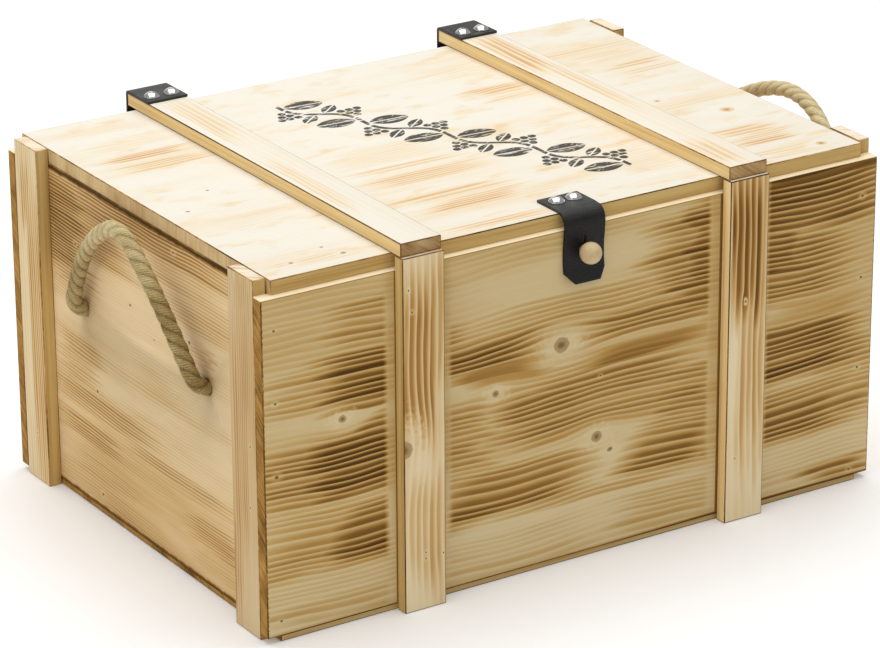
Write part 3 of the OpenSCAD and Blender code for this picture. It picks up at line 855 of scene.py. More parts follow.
LEFT_PATCHES = (
    (0, 252, 190, 15, 0.62), (124, 224, 54, 46, 0.74), (90, 230, 90, 34, 0.46),
    (-60, 238, 90, 20, 0.36), (110, 196, 46, 24, 0.34), (104, 120, 44, 24, 0.34),
    (70, 88, 110, 14, 0.36), (-40, 74, 120, 8, 0.40), (96, 62, 70, 12, 0.42),
    (-95, 44, 60, 16, 0.42), (70, 36, 90, 12, 0.26), (-80, 212, 70, 14, 0.24),
    (-100, 20, 60, 10, 0.3))
LEFT_WASHES = ((96, 236, 80, 30, 0.24), (0, 40, 190, 50, 0.17), (-90, 180, 12, 18, 0.14),
               (-104, 30, 60, 30, 0.2))
left_wood = board_finish("left_end_pine", "y", "end", LEFT_PATCHES, LEFT_WASHES, (),
                         ((105, 212, 1.3), (21, 190, 1.5), (-67, 190, 1.7), (78, 101, 1.5),
                          (-14, 174, 0.9), (75, 17, 1.5), (-47, 253, 1.3)),
                         spacing=0.0027, drift=0.018, seed=3.0, line_show=0.13, haze=0.26,
                         outer=(-0.2540, -0.2550), extra=under_lid)
right_wood = board_finish("right_end_pine", "y", "end",
                          ((20, 230, 90, 30, 0.6), (-60, 120, 80, 34, 0.6),
                           (70, 70, 80, 30, 0.6)),
                          ((0, 240, 120, 20, 0.16),), ((-30, 190, 4.6), (60, 120, 2.6)),
                          ((-104, 60), (40, 200), (90, 30)),
                          spacing=0.0042, seed=9.0, line_show=0.13, haze=0.3,
                          outer=(0.2540, 0.2550), extra=under_lid)
print("left end patches:", len(LEFT_PATCHES))

# %% Lid finish
LID_PATCHES = (
    (-206, 92, 50, 10, 0.66), (-200, 70, 56, 12, 0.5), (-205, 124, 48, 14, 0.26),
    (-205, 160, 54, 12, 0.2), (-58, -4, 66, 24, 0.26), (-54, -36, 70, 8, 0.42),
    (-50, -60, 70, 14, 0.5), (-54, -104, 66, 12, 0.5), (-50, -124, 60, 12, 0.58),
    (-60, -170, 60, 6, 0.5), (98, 72, 36, 14, 0.6), (96, 52, 36, 5, 0.42),
    (92, 130, 42, 20, 0.2), (228, 68, 40, 8, 0.5), (230, 50, 42, 6, 0.38),
    (224, 96, 44, 16, 0.3), (204, -118, 38, 20, 0.5), (202, -140, 40, 8, 0.66),
    (208, -165, 44, 14, 0.3), (104, -120, 30, 34, 0.22), (-205, -164, 50, 10, 0.3))
LID_WASHES = ((-210, 80, 66, 28, 0.14), (-50, -60, 84, 34, 0.12), (-55, -120, 76, 34, 0.14),
              (220, 70, 54, 34, 0.12), (205, -125, 48, 34, 0.14), (98, 66, 40, 24, 0.12))
(_, LID_FRONT, LID_FOOT), (LID_END, _, LID_TOP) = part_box("lid_panel")


def lid_edges(place, char, wash):
    """A toasted line along the lid's upper front arris and its ends, and faint smudges."""
    front = (between(place[1], LID_FRONT - 0.0001, LID_FRONT + 0.0007, 1.0, 0.0)
             * between(place[2], LID_TOP - 0.0015, LID_TOP - 0.0003, 0.0, 0.7))
    ends = between(abs(place[0]), LID_END - 0.0009, LID_END - 0.0001, 0.0, 0.35)
    smudges = streaks(join(*place), (30, 75, 1), 3.0)
    wash = strongest(wash, between(smudges, 0.5, 0.74, 0.0, 0.26))
    return char, wash, strongest(front, ends)


VINE_MIDDLE = (0.010, 0.0025)
MM_BY_X, MM_BY_Y = 507.0, -862.0  # how far a metre of X and of Y runs along the vine


def stencilled(place, colour):
    """Black stencil paint on the lid's top, worn through in scratches."""
    x, y = place[0] - VINE_MIDDLE[0], place[1] - VINE_MIDDLE[1]
    along, across = x * MM_BY_X + y * MM_BY_Y, x * -MM_BY_Y + y * MM_BY_X
    rubbed = streaks(join(place[0], place[1], 0.0), (60, 420, 1), 3.0)
    scratched = streaks(join(along, across, 0.0), (0.9, 0.12, 1))
    whole = between(rubbed, 0.34, 0.44) * between(scratched, 0.30, 0.36)
    on_top = between(place[2], LID_TOP - 0.0007, LID_TOP - 0.0003)
    mask = use(vine, Along=along, Across=across)["Paint"] * whole * on_top
    black = blend_colours(between(rubbed, 0.4, 0.7), paint(56, 54, 50), paint(26, 25, 24))
    return blend_colours(mask * 0.94, colour, black)


lid_wood = board_finish("lid_pine", "xy", "lid", LID_PATCHES, LID_WASHES,
                        ((220, -65, 6.0, 2.4), (233, -167, 4.6, 2.4), (187, -19, 3.0, 3.0)),
                        ((-188, -165, 2.4), (-195, -147, 1.6), (-229, -162, 2.0),
                         (-204, -1, 1.6), (-238, -32, 1.8)),
                        spacing=0.0046, slant=0.5, drift=0.03, seed=5.0, line_show=0.05,
                        haze=0.25, outer=(0.2700, 0.2710), extra=lid_edges,
                        painted=stencilled)
print("lid patches:", len(LID_PATCHES))

# %% Batten finishes
batten_finishes = {}


def batten_finish(name, grain, seed, patches, washes=(), knots=(), nails=(), tones="batten",
                  **more):
    batten_finishes[name] = board_finish(name + "_pine", grain, tones, patches, washes, knots,
                                         nails, seed=seed, drift=0.012,
                                         **{"spacing": 0.0048, **more})


batten_finish("left_front_batten", "z", 11.0,
              ((196, -148, 92, 16, 0.66), (215, -133, 80, 12, 0.48), (64, -142, 60, 20, 0.32)),
              ((200, -160, 90, 4, 0.30), (190, -143, 110, 20, 0.14)), ((129, -160, 7.0, 3.0),),
              ((251, -155.6, 0.9), (234, -152.8, 0.9), (45, -142.7, 0.8), (40, -142.7, 0.8),
               (41, -127.6, 0.8)), line_show=0.08)
batten_finish("right_front_batten", "z", 12.0,
              ((222, 143, 94, 20, 0.86), (120, 146, 100, 16, 0.42), (60, 152, 50, 10, 0.22)),
              ((215, 150, 90, 14, 0.24),), ((178, 141, 1.3, 2.0),), ((52, 134, 0.8),),
              spacing=0.0058, line_show=0.07)
batten_finish("front_left_end_batten", "zy", 13.0,
              ((150, -158, 140, 14, 0.42), (60, -150, 60, 10, 0.3), (262, -160, 20, 20, 0.2)),
              ((140, -160, 170, 26, 0.14),), (), ((148, -170, 0.9), (100, -168, 0.9)),
              spacing=0.0030, tones="end_batten")
batten_finish("rear_left_end_batten", "zy", 14.0,
              ((130, 152, 160, 14, 0.5), (240, 165, 40, 10, 0.3)), (), (), ((40, 160, 0.9),),
              spacing=0.0034)
batten_finish("front_right_end_batten", "zy", 15.0, ((150, -160, 100, 14, 0.6),))
batten_finish("rear_right_end_batten", "zy", 16.0, ((110, 160, 100, 14, 0.6),))
batten_finish("left_rear_batten", "z", 17.0, ((150, -143, 90, 14, 0.6), (30, -143, 40, 20, 0.5)))
batten_finish("right_rear_batten", "z", 18.0, ((190, 143, 60, 14, 0.7), (70, 143, 50, 14, 0.5)))
batten_finish("left_lid_batten", "yx", 19.0,
              ((-60, -150, 90, 10, 0.35), (110, -142, 70, 14, 0.35)),
              tones="lid", line_show=0.07)
batten_finish("right_lid_batten", "yx", 20.0,
              ((120, 143, 70, 14, 0.55), (30, 150, 90, 8, 0.3), (-150, 140, 40, 14, 0.3)),
              tones="lid", line_show=0.07)
print("batten finishes:", len(batten_finishes))

# %% [markdown]
# Sawn ends
# Across a board's end the saw leaves slanting scratches. The ends of the walls
# were flamed with the front and are golden brown. Those of the battens and the
# lid stay paler, and those of the lid's battens lie between.

# %% End grain


def sawn_finish(name, tones, slant, fine=330):
    material, shader, where = new_finish(name)
    axes = split(where)
    lean = (axes[0] + axes[1]) * slant + axes[2]
    marks = noise(join(lean * fine, axes[0] * 30, axes[1] * 30), 1.0)
    tone = marks * 0.6 + noise(where, 45) * 0.4
    set_shader(shader, colour_scale(tone, (0.3, 0.48, 0.6, 0.75), tones), 0.8, 0.1,
               height=marks, depth=0.0003)
    return material


wall_end = sawn_finish("sawn_wall_end", (paint(206, 164, 96), paint(170, 126, 58),
                                         paint(118, 80, 28), paint(64, 40, 10)), -0.9, 1500)
pale_end = sawn_finish("sawn_pale_end", (paint(242, 232, 214), paint(232, 216, 190),
                                         paint(214, 188, 152), paint(176, 144, 104)), 0.4, 600)
lid_end = sawn_finish("sawn_lid_end", (paint(228, 202, 156), paint(210, 180, 130),
                                       paint(186, 152, 102), paint(148, 116, 70)), 14.0, 200)
brown_end = sawn_finish("sawn_lid_batten_end", (paint(196, 164, 116), paint(172, 138, 92),
                                                paint(142, 110, 68), paint(104, 78, 46)), 0.7)

# %% [markdown]
# Narrow sides
# The long thin sides of the boards are planed and golden, with a few straight lines. They got
# less flame than the faces but more than the lid's top. Where the front and back panels' upper
# edges lie open, a near-white painted highlight is laid on them.

# %% Narrow side finish


def wall_top(where):
    """A mask for the upper edges of the front and back panels, where a painted highlight is laid.
    """
    at = split(where)
    depth = abs(at[1])
    level = (between(at[2], WALL_TOP - 0.0009, WALL_TOP - 0.0004)
             * between(at[2], WALL_TOP + 0.00005, WALL_TOP + 0.0002, 1.0, 0.0))
    return (level * between(depth, WALL_IN - 0.0005, WALL_IN)
            * between(depth, WALL_OUT - 0.00005, WALL_OUT + 0.00005, 1.0, 0.0))


def narrow_finish(name, along, tones):
    material, shader, where = new_finish(name)
    sizes = tuple(7 if axis == along else 420 for axis in "xyz")
    lines = streaks(where, sizes)
    tone = lines * 0.4 + streaks(where, tuple(v / 6 for v in sizes)) * 0.6
    colour = colour_scale(tone, (0.3, 0.5, 0.66), tones)
    # Painted highlight: the open upper edges of the front and back panels are lightened to near
    # white.
    colour = blend_colours(wall_top(where), colour, paint(250, 232, 194))
    set_shader(shader, colour, 0.62, 0.15, height=lines, depth=0.00015)
    return material


DEEP = (paint(216, 190, 132), paint(202, 170, 106), paint(172, 132, 70))
BRIGHT = (paint(250, 226, 172), paint(238, 206, 144), paint(204, 160, 96))
deep_sides = {axis: narrow_finish(f"deep_side_along_{axis}", axis, DEEP) for axis in "xyz"}
bright_sides = {axis: narrow_finish(f"bright_side_along_{axis}", axis, BRIGHT) for axis in "xyz"}
BRIGHT_SIDED = ("left_lid_batten", "right_lid_batten", "right_front_batten")
bottom_side = narrow_finish("bottom_side", "x", (paint(212, 188, 136), paint(192, 162, 106),
                                                 paint(156, 118, 66)))
print("narrow sides:", list(deep_sides), "in two tones")

# %% [markdown]
# Toasted arrises
# The flame licks round every arris, so the rounded edges are a shade darker than the faces. Those
# of the walls, the bottom and three battens are nearly burnt, here and there almost black, while
# the lid's have a golden lower half. The walls' open upper arrises take a near-white painted
# highlight.

# %% Toasted edge finishes
SINGED = (paint(214, 184, 132), paint(180, 136, 80), paint(122, 84, 38), paint(54, 36, 14))


def toasted_finish(name, places, clean=None, clean_or_highlight_tone=None):
    """A singed edge; clean, where given, is the mask where a second tone replaces the singe:
    clean wood, or a painted highlight.
    """
    material, shader, where = new_finish(name)
    hot = noise(where, 14) * 0.75 + noise(where, 160) * 0.35
    colour = colour_scale(hot, places, SINGED)
    if clean:
        colour = blend_colours(clean(where), colour, clean_or_highlight_tone)
    set_shader(shader, colour, 0.65, 0.12)
    return material


def lower_half(where):
    return between(split(where)[2], LID_FOOT + 0.0005, LID_FOOT + 0.0017, 1.0, 0.0)


toasted = toasted_finish("toasted_edge", (0.36, 0.5, 0.62, 0.78))
# The walls' upper arrises take the same near-white painted highlight.
burnt = toasted_finish("burnt_edge", (0.24, 0.34, 0.47, 0.66), wall_top, paint(250, 230, 190))
lid_toasted = toasted_finish("lid_edge", (0.3, 0.44, 0.56, 0.7), lower_half,
                             paint(214, 184, 126))
print("end and edge finishes ready")

# %% [markdown]
# Boards
# Every board is a cube brought to the size of its solid, with its arrises
# eased, because no planed edge is knife sharp and a thin line on it is what
# makes timber look real. The two faces across the grain get the sawn finish, and
# the two thin sides along it the golden one.

# %% Making a board
EASE = 0.7 * MM
BURNT_EDGED = ("left_front_batten", "right_front_batten", "left_lid_batten")


def modify(made, kind, **settings):
    """Gives a piece a modifier with its settings, and applies it."""
    modifier = made.modifiers.new(kind.lower(), kind)
    for name, setting in settings.items():
        setattr(modifier, name, setting)
    pick(made)
    bpy.ops.object.modifier_apply(modifier=modifier.name)


def make_board(node, along, body, face_finish, end_finish, edge_finish):
    """One board in place of its solid; along is the axis that the grain follows."""
    low, high = (Vector(corner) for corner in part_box(node))
    size = high - low
    pick()
    bpy.ops.mesh.primitive_cube_add(size=1)
    made = bpy.context.object
    made.name = made.data.name = node + "_wood"
    bpy.ops.object.mode_set(mode="EDIT")
    bpy.ops.mesh.select_all(action="SELECT")
    bpy.ops.transform.resize(value=size)
    bpy.ops.transform.translate(value=(low + high) / 2)
    bpy.ops.object.mode_set(mode="OBJECT")
    sides = bright_sides if node in BRIGHT_SIDED else deep_sides
    narrow = bottom_side if node == "bottom_panel" else sides[along]
    for finish in (face_finish, end_finish, edge_finish, narrow):
        made.data.materials.append(finish)
    axis = "xyz".index(along)
    thin = min(range(3), key=lambda k: size[k])
    for face in made.data.polygons:
        straight = max(range(3), key=lambda k: abs(face.normal[k]))
        face.material_index = 1 if straight == axis else 0 if straight == thin else 3
    modify(made, "BEVEL", width=EASE, segments=3, material=2)
    bpy.ops.object.shade_smooth_by_angle(angle=math.radians(40))
    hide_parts(node)
    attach(made, body)
    return made


print(f"arrises are eased by {EASE / MM:.1f} mm")

# %% All the boards
boards = {}
for node, finish, along in (("front_panel", front_wood, "x"), ("back_panel", back_wood, "x"),
                            ("left_end_panel", left_wood, "y"),
                            ("right_end_panel", right_wood, "y"),
                            ("bottom_panel", bottom_wood, "x")):
    boards[node] = make_board(node, along, "case", finish, wall_end, burnt)
boards["lid_panel"] = make_board("lid_panel", "x", "lid", lid_wood, lid_end,
                                 lid_toasted)
for node, finish in batten_finishes.items():
    along, body, end = ("y", "lid", brown_end) if "lid" in node else ("z", "case", pale_end)
    boards[node] = make_board(node, along, body, finish, end,
                              burnt if node in BURNT_EDGED else toasted)
print(len(boards), "boards")

# %% [markdown]
# Rope holes
# Each end panel is bored twice for its rope. A cylinder is placed on each hole's
# axis and taken away from the board with a Boolean modifier.

# %% Boring the end panels
BORE_R = 6.6


def take_away(board, cutter):
    modify(board, "BOOLEAN", object=cutter, solver="EXACT")
    bpy.data.objects.remove(cutter, do_unlink=True)


def bore(board, middle, radius, length, turn):
    """Bores a round hole on an axis that is Z turned by the given angles; in mm."""
    pick()
    bpy.ops.mesh.primitive_cylinder_add(vertices=40, radius=radius * MM, depth=length * MM,
                                        location=Vector(middle) * MM, rotation=turn)
    drill = bpy.context.object
    bpy.ops.object.transform_apply(location=True, rotation=True, scale=True)
    take_away(board, drill)


for node, side in (("left_end_panel", -1), ("right_end_panel", 1)):
    middle_x = side * (PANEL_IN + PANEL_OUT) / 2
    for y in (-HOLE_Y, HOLE_Y):
        bore(boards[node], (middle_x, y, HOLE_Z), BORE_R, 30, (0, math.pi / 2, 0))
    print(node, "bored,", len(boards[node].data.polygons), "faces")

# %% [markdown]
# Leather
# The hinge and closure straps are 2 mm black leather with a pebbled face. Where they lie above
# the lid's level, on top and over the bends, a painted sheen makes them paler. The pebbles are
# cells, pressed in as a bump with a finer noise on them, and the creases between them carry a
# little painted shade.

# %% Leather finish
leather, shader, where = new_finish("black_leather")
cells = wire("TexVoronoi", where, feature="DISTANCE_TO_EDGE")
cells.inputs["Scale"].default_value = 620
pebble = between(Signal(cells.outputs["Distance"]), 0.0, 0.28)
worn = noise(where, 70, 3.0)
# The cells' edges come out a shade darker: painted shade in the creases between the pebbles.
colour = colour_scale(pebble * 0.35 + worn * 0.7, (0.2, 0.6, 0.95),
                      (paint(5, 5, 4), paint(10, 9, 8), paint(22, 21, 19)))
# Painted sheen: above the lid's level the leather is lightened towards a pale grey.
painted_sheen = between(split(where)[2], 0.2700, 0.2772, 0.0, 0.75)
set_shader(shader, blend_colours(painted_sheen, colour, paint(52, 54, 50)),
           between(worn, 0.3, 0.75, 0.30, 0.44), 0.26,
           height=noise(where, 2200) * 0.35 + pebble, depth=0.00022)
print("leather ready")

# %% [markdown]
# Cutting a strap
# A strap is a flat strip that follows a side line. A thin grid is laid on the
# line's first two points, its far edge is extruded from point to point, and the
# strip gets its thickness from Solidify. A fine bevel rounds the cut edges.

# %% Making a strap
STRAP_W, STRAP_T = 35 * MM, 2 * MM
LID_LEVEL = 0.27


def make_strap(name, side_line, x_middle=0.0, columns=10):
    """A leather strip along a line of (y, z) points of its outer face, in mm."""
    points = [Vector((0, y, z)) * MM for y, z in side_line]
    pick()
    bpy.ops.mesh.primitive_grid_add(x_subdivisions=columns, y_subdivisions=1, size=1)
    made = bpy.context.object
    made.name = made.data.name = name
    for vertex in made.data.vertices:
        spot = points[0] if vertex.co.y < 0 else points[1]
        vertex.co = (x_middle * MM + vertex.co.x * STRAP_W, spot.y, spot.z)
    bpy.ops.object.mode_set(mode="EDIT")
    bpy.ops.mesh.select_all(action="DESELECT")
    bpy.ops.object.mode_set(mode="OBJECT")
    for vertex in made.data.vertices:
        vertex.select = (vertex.co.yz - points[1].yz).length < 1e-6
    bpy.ops.object.mode_set(mode="EDIT")
    bpy.ops.mesh.select_mode(type="VERT")
    bpy.ops.mesh.select_mode(type="EDGE")
    for before, after in zip(points[1:], points[2:]):
        bpy.ops.mesh.extrude_region_move(TRANSFORM_OT_translate={"value": after - before})
    bpy.ops.mesh.select_all(action="SELECT")
    bpy.ops.mesh.normals_make_consistent(inside=False)
    bpy.ops.object.mode_set(mode="OBJECT")
    outward = sum(f.normal.z for f in made.data.polygons if f.center.z > LID_LEVEL)
    if outward < 0:
        made.data.flip_normals()
    modify(made, "SOLIDIFY", thickness=STRAP_T, offset=-1)
    return made


def round_edges(made, width):
    modify(made, "BEVEL", width=width * MM, segments=2, limit_method="ANGLE",
           angle_limit=math.radians(50))
    bpy.ops.object.shade_smooth_by_angle(angle=math.radians(45))


print(f"straps are {STRAP_W / MM:.0f} mm wide and {STRAP_T / MM:.0f} mm thick")

# %% [markdown]
# Hinge straps
# Each lies on its lid batten, turns down over the batten's end, crosses the gap above the rear
# batten and is screwed to it. Between the two screwed parts the leather itself is the hinge.

# %% The two hinge straps
ON_LID_BATTEN, ON_REAR_BATTEN = 288, 201.5
CORNER_R, CORNER_Y, CORNER_Z = 2.9, 198.6, 285.05
hinge_line = [(y, ON_LID_BATTEN) for y in (165.5, 172, 180, 188, 195)]
hinge_line += [(CORNER_Y + CORNER_R * math.sin(a), CORNER_Z + CORNER_R * math.cos(a))
               for a in (math.radians(d) for d in (0, 18, 36, 54, 72, 90))]
hinge_line += [(ON_REAR_BATTEN, z) for z in (281.5, 278.5, 275.5)]
hinge_line += [(ON_REAR_BATTEN, 275.5 - i * 1.1) for i in range(1, 11)]
hinge_line += [(ON_REAR_BATTEN, z) for z in (260, 254, 248, 241, 234)]
for label, side in (("left", -1), ("right", 1)):
    strap = make_strap(f"{label}_hinge_strap", hinge_line, side * BATTEN_X)
    round_edges(strap, 0.35)
    strap.data.materials.append(leather)
    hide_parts(f"{label}_hinge_lid_leaf", f"{label}_hinge_case_leaf")
    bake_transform(strap)
    print(strap.name, len(strap.data.polygons), "faces")

# %% [markdown]
# Closure strap
# The strap is screwed to the lid's front, rolls over the edge and buttons on the
# knob through a round hole with a slit above it. Its two lower corners are cut
# off and its end curls away from the panel a little.

# %% The closure strap
KNOB_Z = 246.5
ON_LID = 277.5
EDGE_R, EDGE_Y, EDGE_Z = 10, -182.9, 267.5
closure_line = [(y, ON_LID) for y in (-155.9, -162, -168, -173, -178)]
closure_line += [(-181, 277.4), (-183.6, 277.0)]
closure_line += [(EDGE_Y - EDGE_R * math.sin(a), EDGE_Z + EDGE_R * math.cos(a))
                 for a in (math.radians(d) for d in (18, 30, 42, 54, 66, 78, 90))]
closure_line += [(-192.8, 264.5), (-192.6, 261.5), (-192.3, 258), (-191.9, 254.5),
                 (-191.55, 251), (-191.35, 248), (-191.3, 245), (-191.3, 242), (-191.35, 239),
                 (-191.6, 236), (-192.0, 233), (-192.5, 230), (-193.1, 227), (-193.6, 224),
                 (-193.9, 222)]
strap = make_strap("closure_strap", closure_line, columns=14)
print("closure strap follows", len(closure_line), "points")

# %% Its corners, slit and hole


def cut_away(board, outline, low_y, high_y):
    """Takes a prism away: an outline in X and Z, in mm, between two depths in Y."""
    pick()
    bpy.ops.mesh.primitive_circle_add(vertices=len(outline), fill_type="NGON")
    cutter = bpy.context.object
    for vertex, (x, z) in zip(cutter.data.vertices, outline):
        vertex.co = Vector((x, low_y, z)) * MM
    bpy.ops.object.mode_set(mode="EDIT")
    bpy.ops.mesh.select_all(action="SELECT")
    bpy.ops.mesh.extrude_region_move(
        TRANSFORM_OT_translate={"value": (0, (high_y - low_y) * MM, 0)})
    bpy.ops.mesh.select_all(action="SELECT")
    bpy.ops.mesh.normals_make_consistent(inside=False)
    bpy.ops.object.mode_set(mode="OBJECT")
    take_away(board, cutter)


LEFT_CORNER = ((-18.5, 221), (-8, 221), (-17.6, 230.8), (-18.5, 230.8))
RIGHT_CORNER = ((12.4, 221), (18.5, 221), (18.5, 231), (17.6, 231))
SLIT = ((-0.35, 249), (0.35, 249), (0.3, 258.3), (-0.5, 258.3))
for outline in (LEFT_CORNER, RIGHT_CORNER, SLIT):
    cut_away(strap, outline, -205, -186)
bore(strap, (0, -192, KNOB_Z), 4.5, 20, (math.pi / 2, 0, 0))
round_edges(strap, 0.3)
strap.data.materials.append(leather)
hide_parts("closure_strap_tab", "closure_strap_flap")
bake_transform(strap)
print("closure strap:", len(strap.data.polygons), "faces")

# %% [markdown]
# Domed screws
# The chromed screws have a plain round dome with a thin flat rim under it. One
# is spun from half a profile, and copies of its mesh are joined, so that each
# group of screws is one piece with a mesh of its own.

# %% Chrome
chrome, shader, where = new_finish("chromed_steel")
set_shader(shader, paint(206, 203, 198), between(noise(where, 400), 0.3, 0.8, 0.10, 0.24),
           Metallic=1.0)
print("chrome ready")

# %% Turning a profile


def spin_profile(name, profile, steps=40):
    """A turned shape about +Z from a profile of (radius, height) in mm."""
    pick()
    bpy.ops.mesh.primitive_circle_add(vertices=len(profile), fill_type="NOTHING")
    made = bpy.context.object
    made.name = made.data.name = name
    for vertex, (radius, height) in zip(made.data.vertices, profile):
        vertex.co = Vector((radius, 0, height)) * MM
    bpy.ops.object.mode_set(mode="EDIT")
    bpy.ops.mesh.select_mode(type="EDGE")
    bpy.ops.mesh.select_all(action="DESELECT")
    bpy.ops.object.mode_set(mode="OBJECT")
    for edge in made.data.edges:
        edge.select = set(edge.vertices) == {0, len(profile) - 1}
    bpy.ops.object.mode_set(mode="EDIT")
    bpy.ops.mesh.delete(type="EDGE")
    bpy.ops.mesh.select_all(action="SELECT")
    bpy.ops.mesh.spin(steps=steps, angle=2 * math.pi, center=(0, 0, 0), axis=(0, 0, 1))
    bpy.ops.mesh.select_all(action="SELECT")
    bpy.ops.mesh.remove_doubles(threshold=1e-6)
    bpy.ops.mesh.select_all(action="SELECT")
    bpy.ops.mesh.normals_make_consistent(inside=False)
    bpy.ops.object.mode_set(mode="OBJECT")
    bpy.ops.object.shade_smooth()
    return made


print("profiles can be spun")

# %% One screw, many copies
HEAD_PROFILE = [(6.1, 0.0), (6.25, 0.15), (6.25, 0.45), (6.05, 0.75), (5.4, 1.55),
                (4.4, 2.5), (3.2, 3.3), (1.7, 3.85), (0.0, 4.0)]


def place_copies(model, name, spots, body, node, material):
    """One object made of copies of a model, each at a place with its +Z turned."""
    shape = bmesh.new()
    for place, turn in spots:
        part = model.data.copy()
        part.transform(Matrix.Translation(Vector(place) * MM) @ turn)
        shape.from_mesh(part)
        bpy.data.meshes.remove(part)
    mesh = bpy.data.meshes.new(name)
    shape.to_mesh(mesh)
    shape.free()
    made = bpy.data.objects.new(name, mesh)
    bpy.context.collection.objects.link(made)
    mesh.materials.append(material)
    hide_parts(node)
    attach(made, body)
    return made


head = spin_profile("dome_head", HEAD_PROFILE)
UP, BACK = Matrix.Identity(4), Matrix.Rotation(-math.pi / 2, 4, "X")
hinge_x = [side * BATTEN_X + dx for side in (-1, 1) for dx in (-8.75, 8.75)]
for name, spots, body, node in (
        ("hinge_lid_domes", [((x, 176, ON_LID_BATTEN), UP) for x in hinge_x], "lid",
         "hinge_lid_screws"),
        ("hinge_case_domes", [((x, ON_REAR_BATTEN, 244.5), BACK) for x in hinge_x], "case",
         "hinge_case_screws"),
        ("closure_domes", [((x, -166.4, ON_LID), UP) for x in (-7.5, 7.5)], "lid",
         "closure_screws")):
    place_copies(head, name, spots, body, node, chrome)
bpy.data.objects.remove(head, do_unlink=True)
print("domes placed")

# %% [markdown]
# The knob
# A small ball of beech turned on a lathe, with its neck through the strap. The
# profile is spun like the screws, and turned to face forward.

# %% Knob
turned, shader, where = new_finish("turned_beech")
streaky = streaks(where, (900, 160, 900))
set_shader(shader, colour_scale(streaky * 0.5 + noise(where, 160) * 0.5, (0.25, 0.75),
                                (paint(214, 194, 152), paint(186, 158, 112))),
           0.48, 0.3, height=streaky, depth=0.00006)

BALL_R, NECK_R = 8.25, 4.0
knob_profile = [(NECK_R, -10.75), (NECK_R, -8.9)]
join_angle = math.degrees(math.asin(NECK_R / BALL_R))
for i in range(17):
    a = math.radians(180 - join_angle - (180 - join_angle) * i / 16)
    knob_profile.append((max(BALL_R * math.sin(a), 0.0), BALL_R * math.cos(a)))
ball = spin_profile("knob_model", knob_profile, 44)
FORWARD = Matrix.Rotation(math.pi / 2, 4, "X")
place_copies(ball, "knob", [((0, -199.8, KNOB_Z), FORWARD)], "case", "closure_knob",
             turned)
bpy.data.objects.remove(ball, do_unlink=True)

# %% [markdown]
# Rope finish
# Hemp is a greenish straw colour. The UV map runs round and along each strand, so slanted stripes
# across it draw the yarns, with painted shade in the grooves between them and on each strand's
# inner side, where the strands meet. The rope is painted lighter towards its top and darker lower
# down, the right rope a shade paler, and the left rope's front limb is darker.

# %% Rope finish
YARNS, YARN_SLANT = 8.0, 36.0
hemp, shader, where = new_finish("hemp_fibre")
uv = hemp.node_tree.nodes.new("ShaderNodeUVMap")
uv.uv_map = "strand"
round_it, along = split(Signal(uv.outputs[0]))[:2]
spot = split(where)
yarn = calc("FRACT", round_it * YARNS + along * YARN_SLANT) - 0.5
groove = between(abs(yarn), 0.25, 0.5)
strand_valley_shade = between(abs(round_it - 0.5), 0.20, 0.40, 1.0, 0.0)
hairs = noise(join(round_it * 26.0 + along * 117.0, along * 22.0, 0.0), 1.0, 3.0)
# Painted light and shade: the rope is lighter towards its top and darker lower down; the right
# rope is a shade paler.
painted_top_light_pale_right = between(spot[2], 0.205, 0.258, -0.09, 0.09) + between(spot[0], 0.0, 0.1, 0.0, 0.05)
# The left rope's front limb is darker.
left_front_limb_darker = between(spot[1], -0.03, 0.02, -0.08, 0.0) * between(spot[0], -0.1, 0.0, 1.0, 0.0)
tone = noise(where, 1100, 3.0) * 0.35 + (noise(where, 60) * 0.3 + hairs * 0.28)
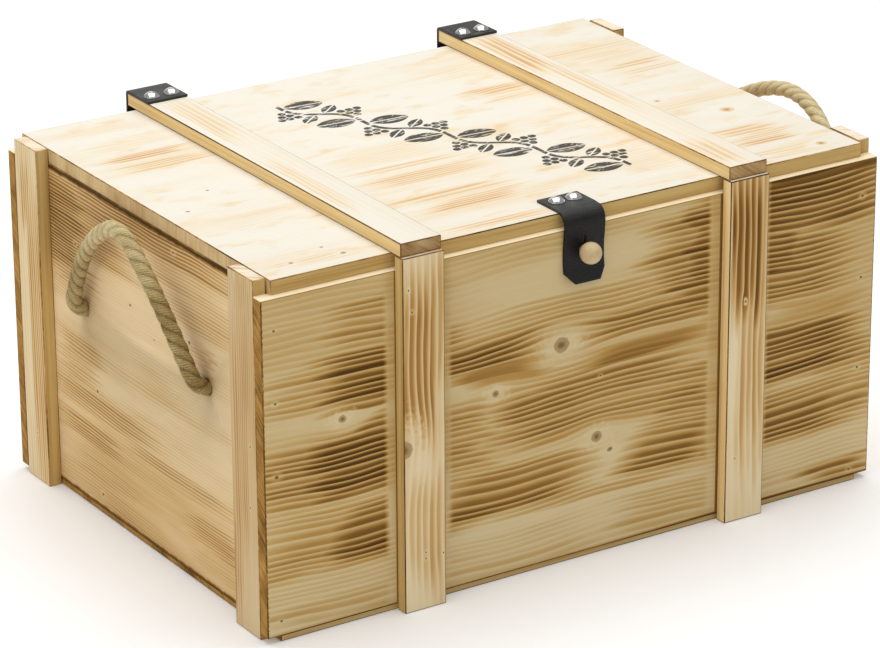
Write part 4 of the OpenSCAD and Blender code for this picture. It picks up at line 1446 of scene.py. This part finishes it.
# Painted shade: the yarn grooves and the strands' inner sides are darkened.
tone = strand_valley_shade * -0.17 + (groove * -0.12 + tone) + (painted_top_light_pale_right + left_front_limb_darker)
colour = colour_scale(tone, (0.0, 0.25, 0.48, 0.7),
                      (paint(84, 64, 26), paint(150, 127, 76), paint(206, 187, 138),
                       paint(234, 221, 182)))
set_shader(shader, colour, 0.92, 0.05, height=groove * -0.35 + hairs, depth=0.0006,
           Sheen_Weight=0.12)
for rope in ropes:
    rope.data.materials.clear()
    rope.data.materials.append(hemp)
print(len(ropes), "rope pieces finished")

# %% [markdown]
# Small steel
# The brads and the knob's screw keep their construction solids and get a dull
# steel finish.

# %% Steel finish
steel, shader, where = new_finish("dull_steel")
set_shader(shader, colour_scale(noise(where, 500), (0.3, 0.7),
                                (paint(120, 118, 114), paint(160, 158, 152))),
           0.42, Metallic=1.0)
for node in ("wall_brads", "bottom_brads", "front_batten_brads", "rear_batten_brads",
             "end_batten_brads", "lid_batten_brads", "knob_screw"):
    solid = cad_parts[node]
    solid.data.materials.clear()
    solid.data.materials.append(steel)
print("steel finish on the brads and the knob's screw")

# %% [markdown]
# Floor and light
# A plain pale floor, one large soft light above, weaker ones on the left and
# behind, and a pale world all round: the top is bright, the upright sides are
# calmer, and nothing throws a hard shadow.

# %% Floor and light
pick()
bpy.ops.mesh.primitive_plane_add(size=14)
floor = bpy.context.object
floor.name = "floor"
pale, shader, where = new_finish("pale_floor")
set_shader(shader, (0.95, 0.95, 0.95, 1), 0.9, 0.1, Emission_Color=(1, 1, 1, 1),
           Emission_Strength=0.1)
floor.data.materials.append(pale)


def soft_light(name, place, target, size, power):
    bpy.ops.object.light_add(type="AREA", location=place)
    light = bpy.context.object
    light.name = name
    light.data.shape, light.data.size, light.data.energy = "SQUARE", size, power
    light.rotation_euler = (Vector(target) - Vector(place)).to_track_quat("-Z", "Y").to_euler()


soft_light("overhead", (0.15, 0.35, 3.0), (0, 0, 0.2), 3.2, 78)
soft_light("left_fill", (-3.2, -1.3, 1.4), (0, 0, 0.15), 3.6, 23)
soft_light("back_card", (0.9, 3.6, 1.3), (0, 0, 0.3), 2.0, 9)
world = bpy.data.worlds.new("studio")
world.use_nodes = True
world.node_tree.nodes["Background"].inputs["Color"].default_value = (1, 1, 1, 1)
world.node_tree.nodes["Background"].inputs["Strength"].default_value = 0.45
bpy.context.scene.world = world
bpy.context.scene.view_settings.view_transform = "Standard"
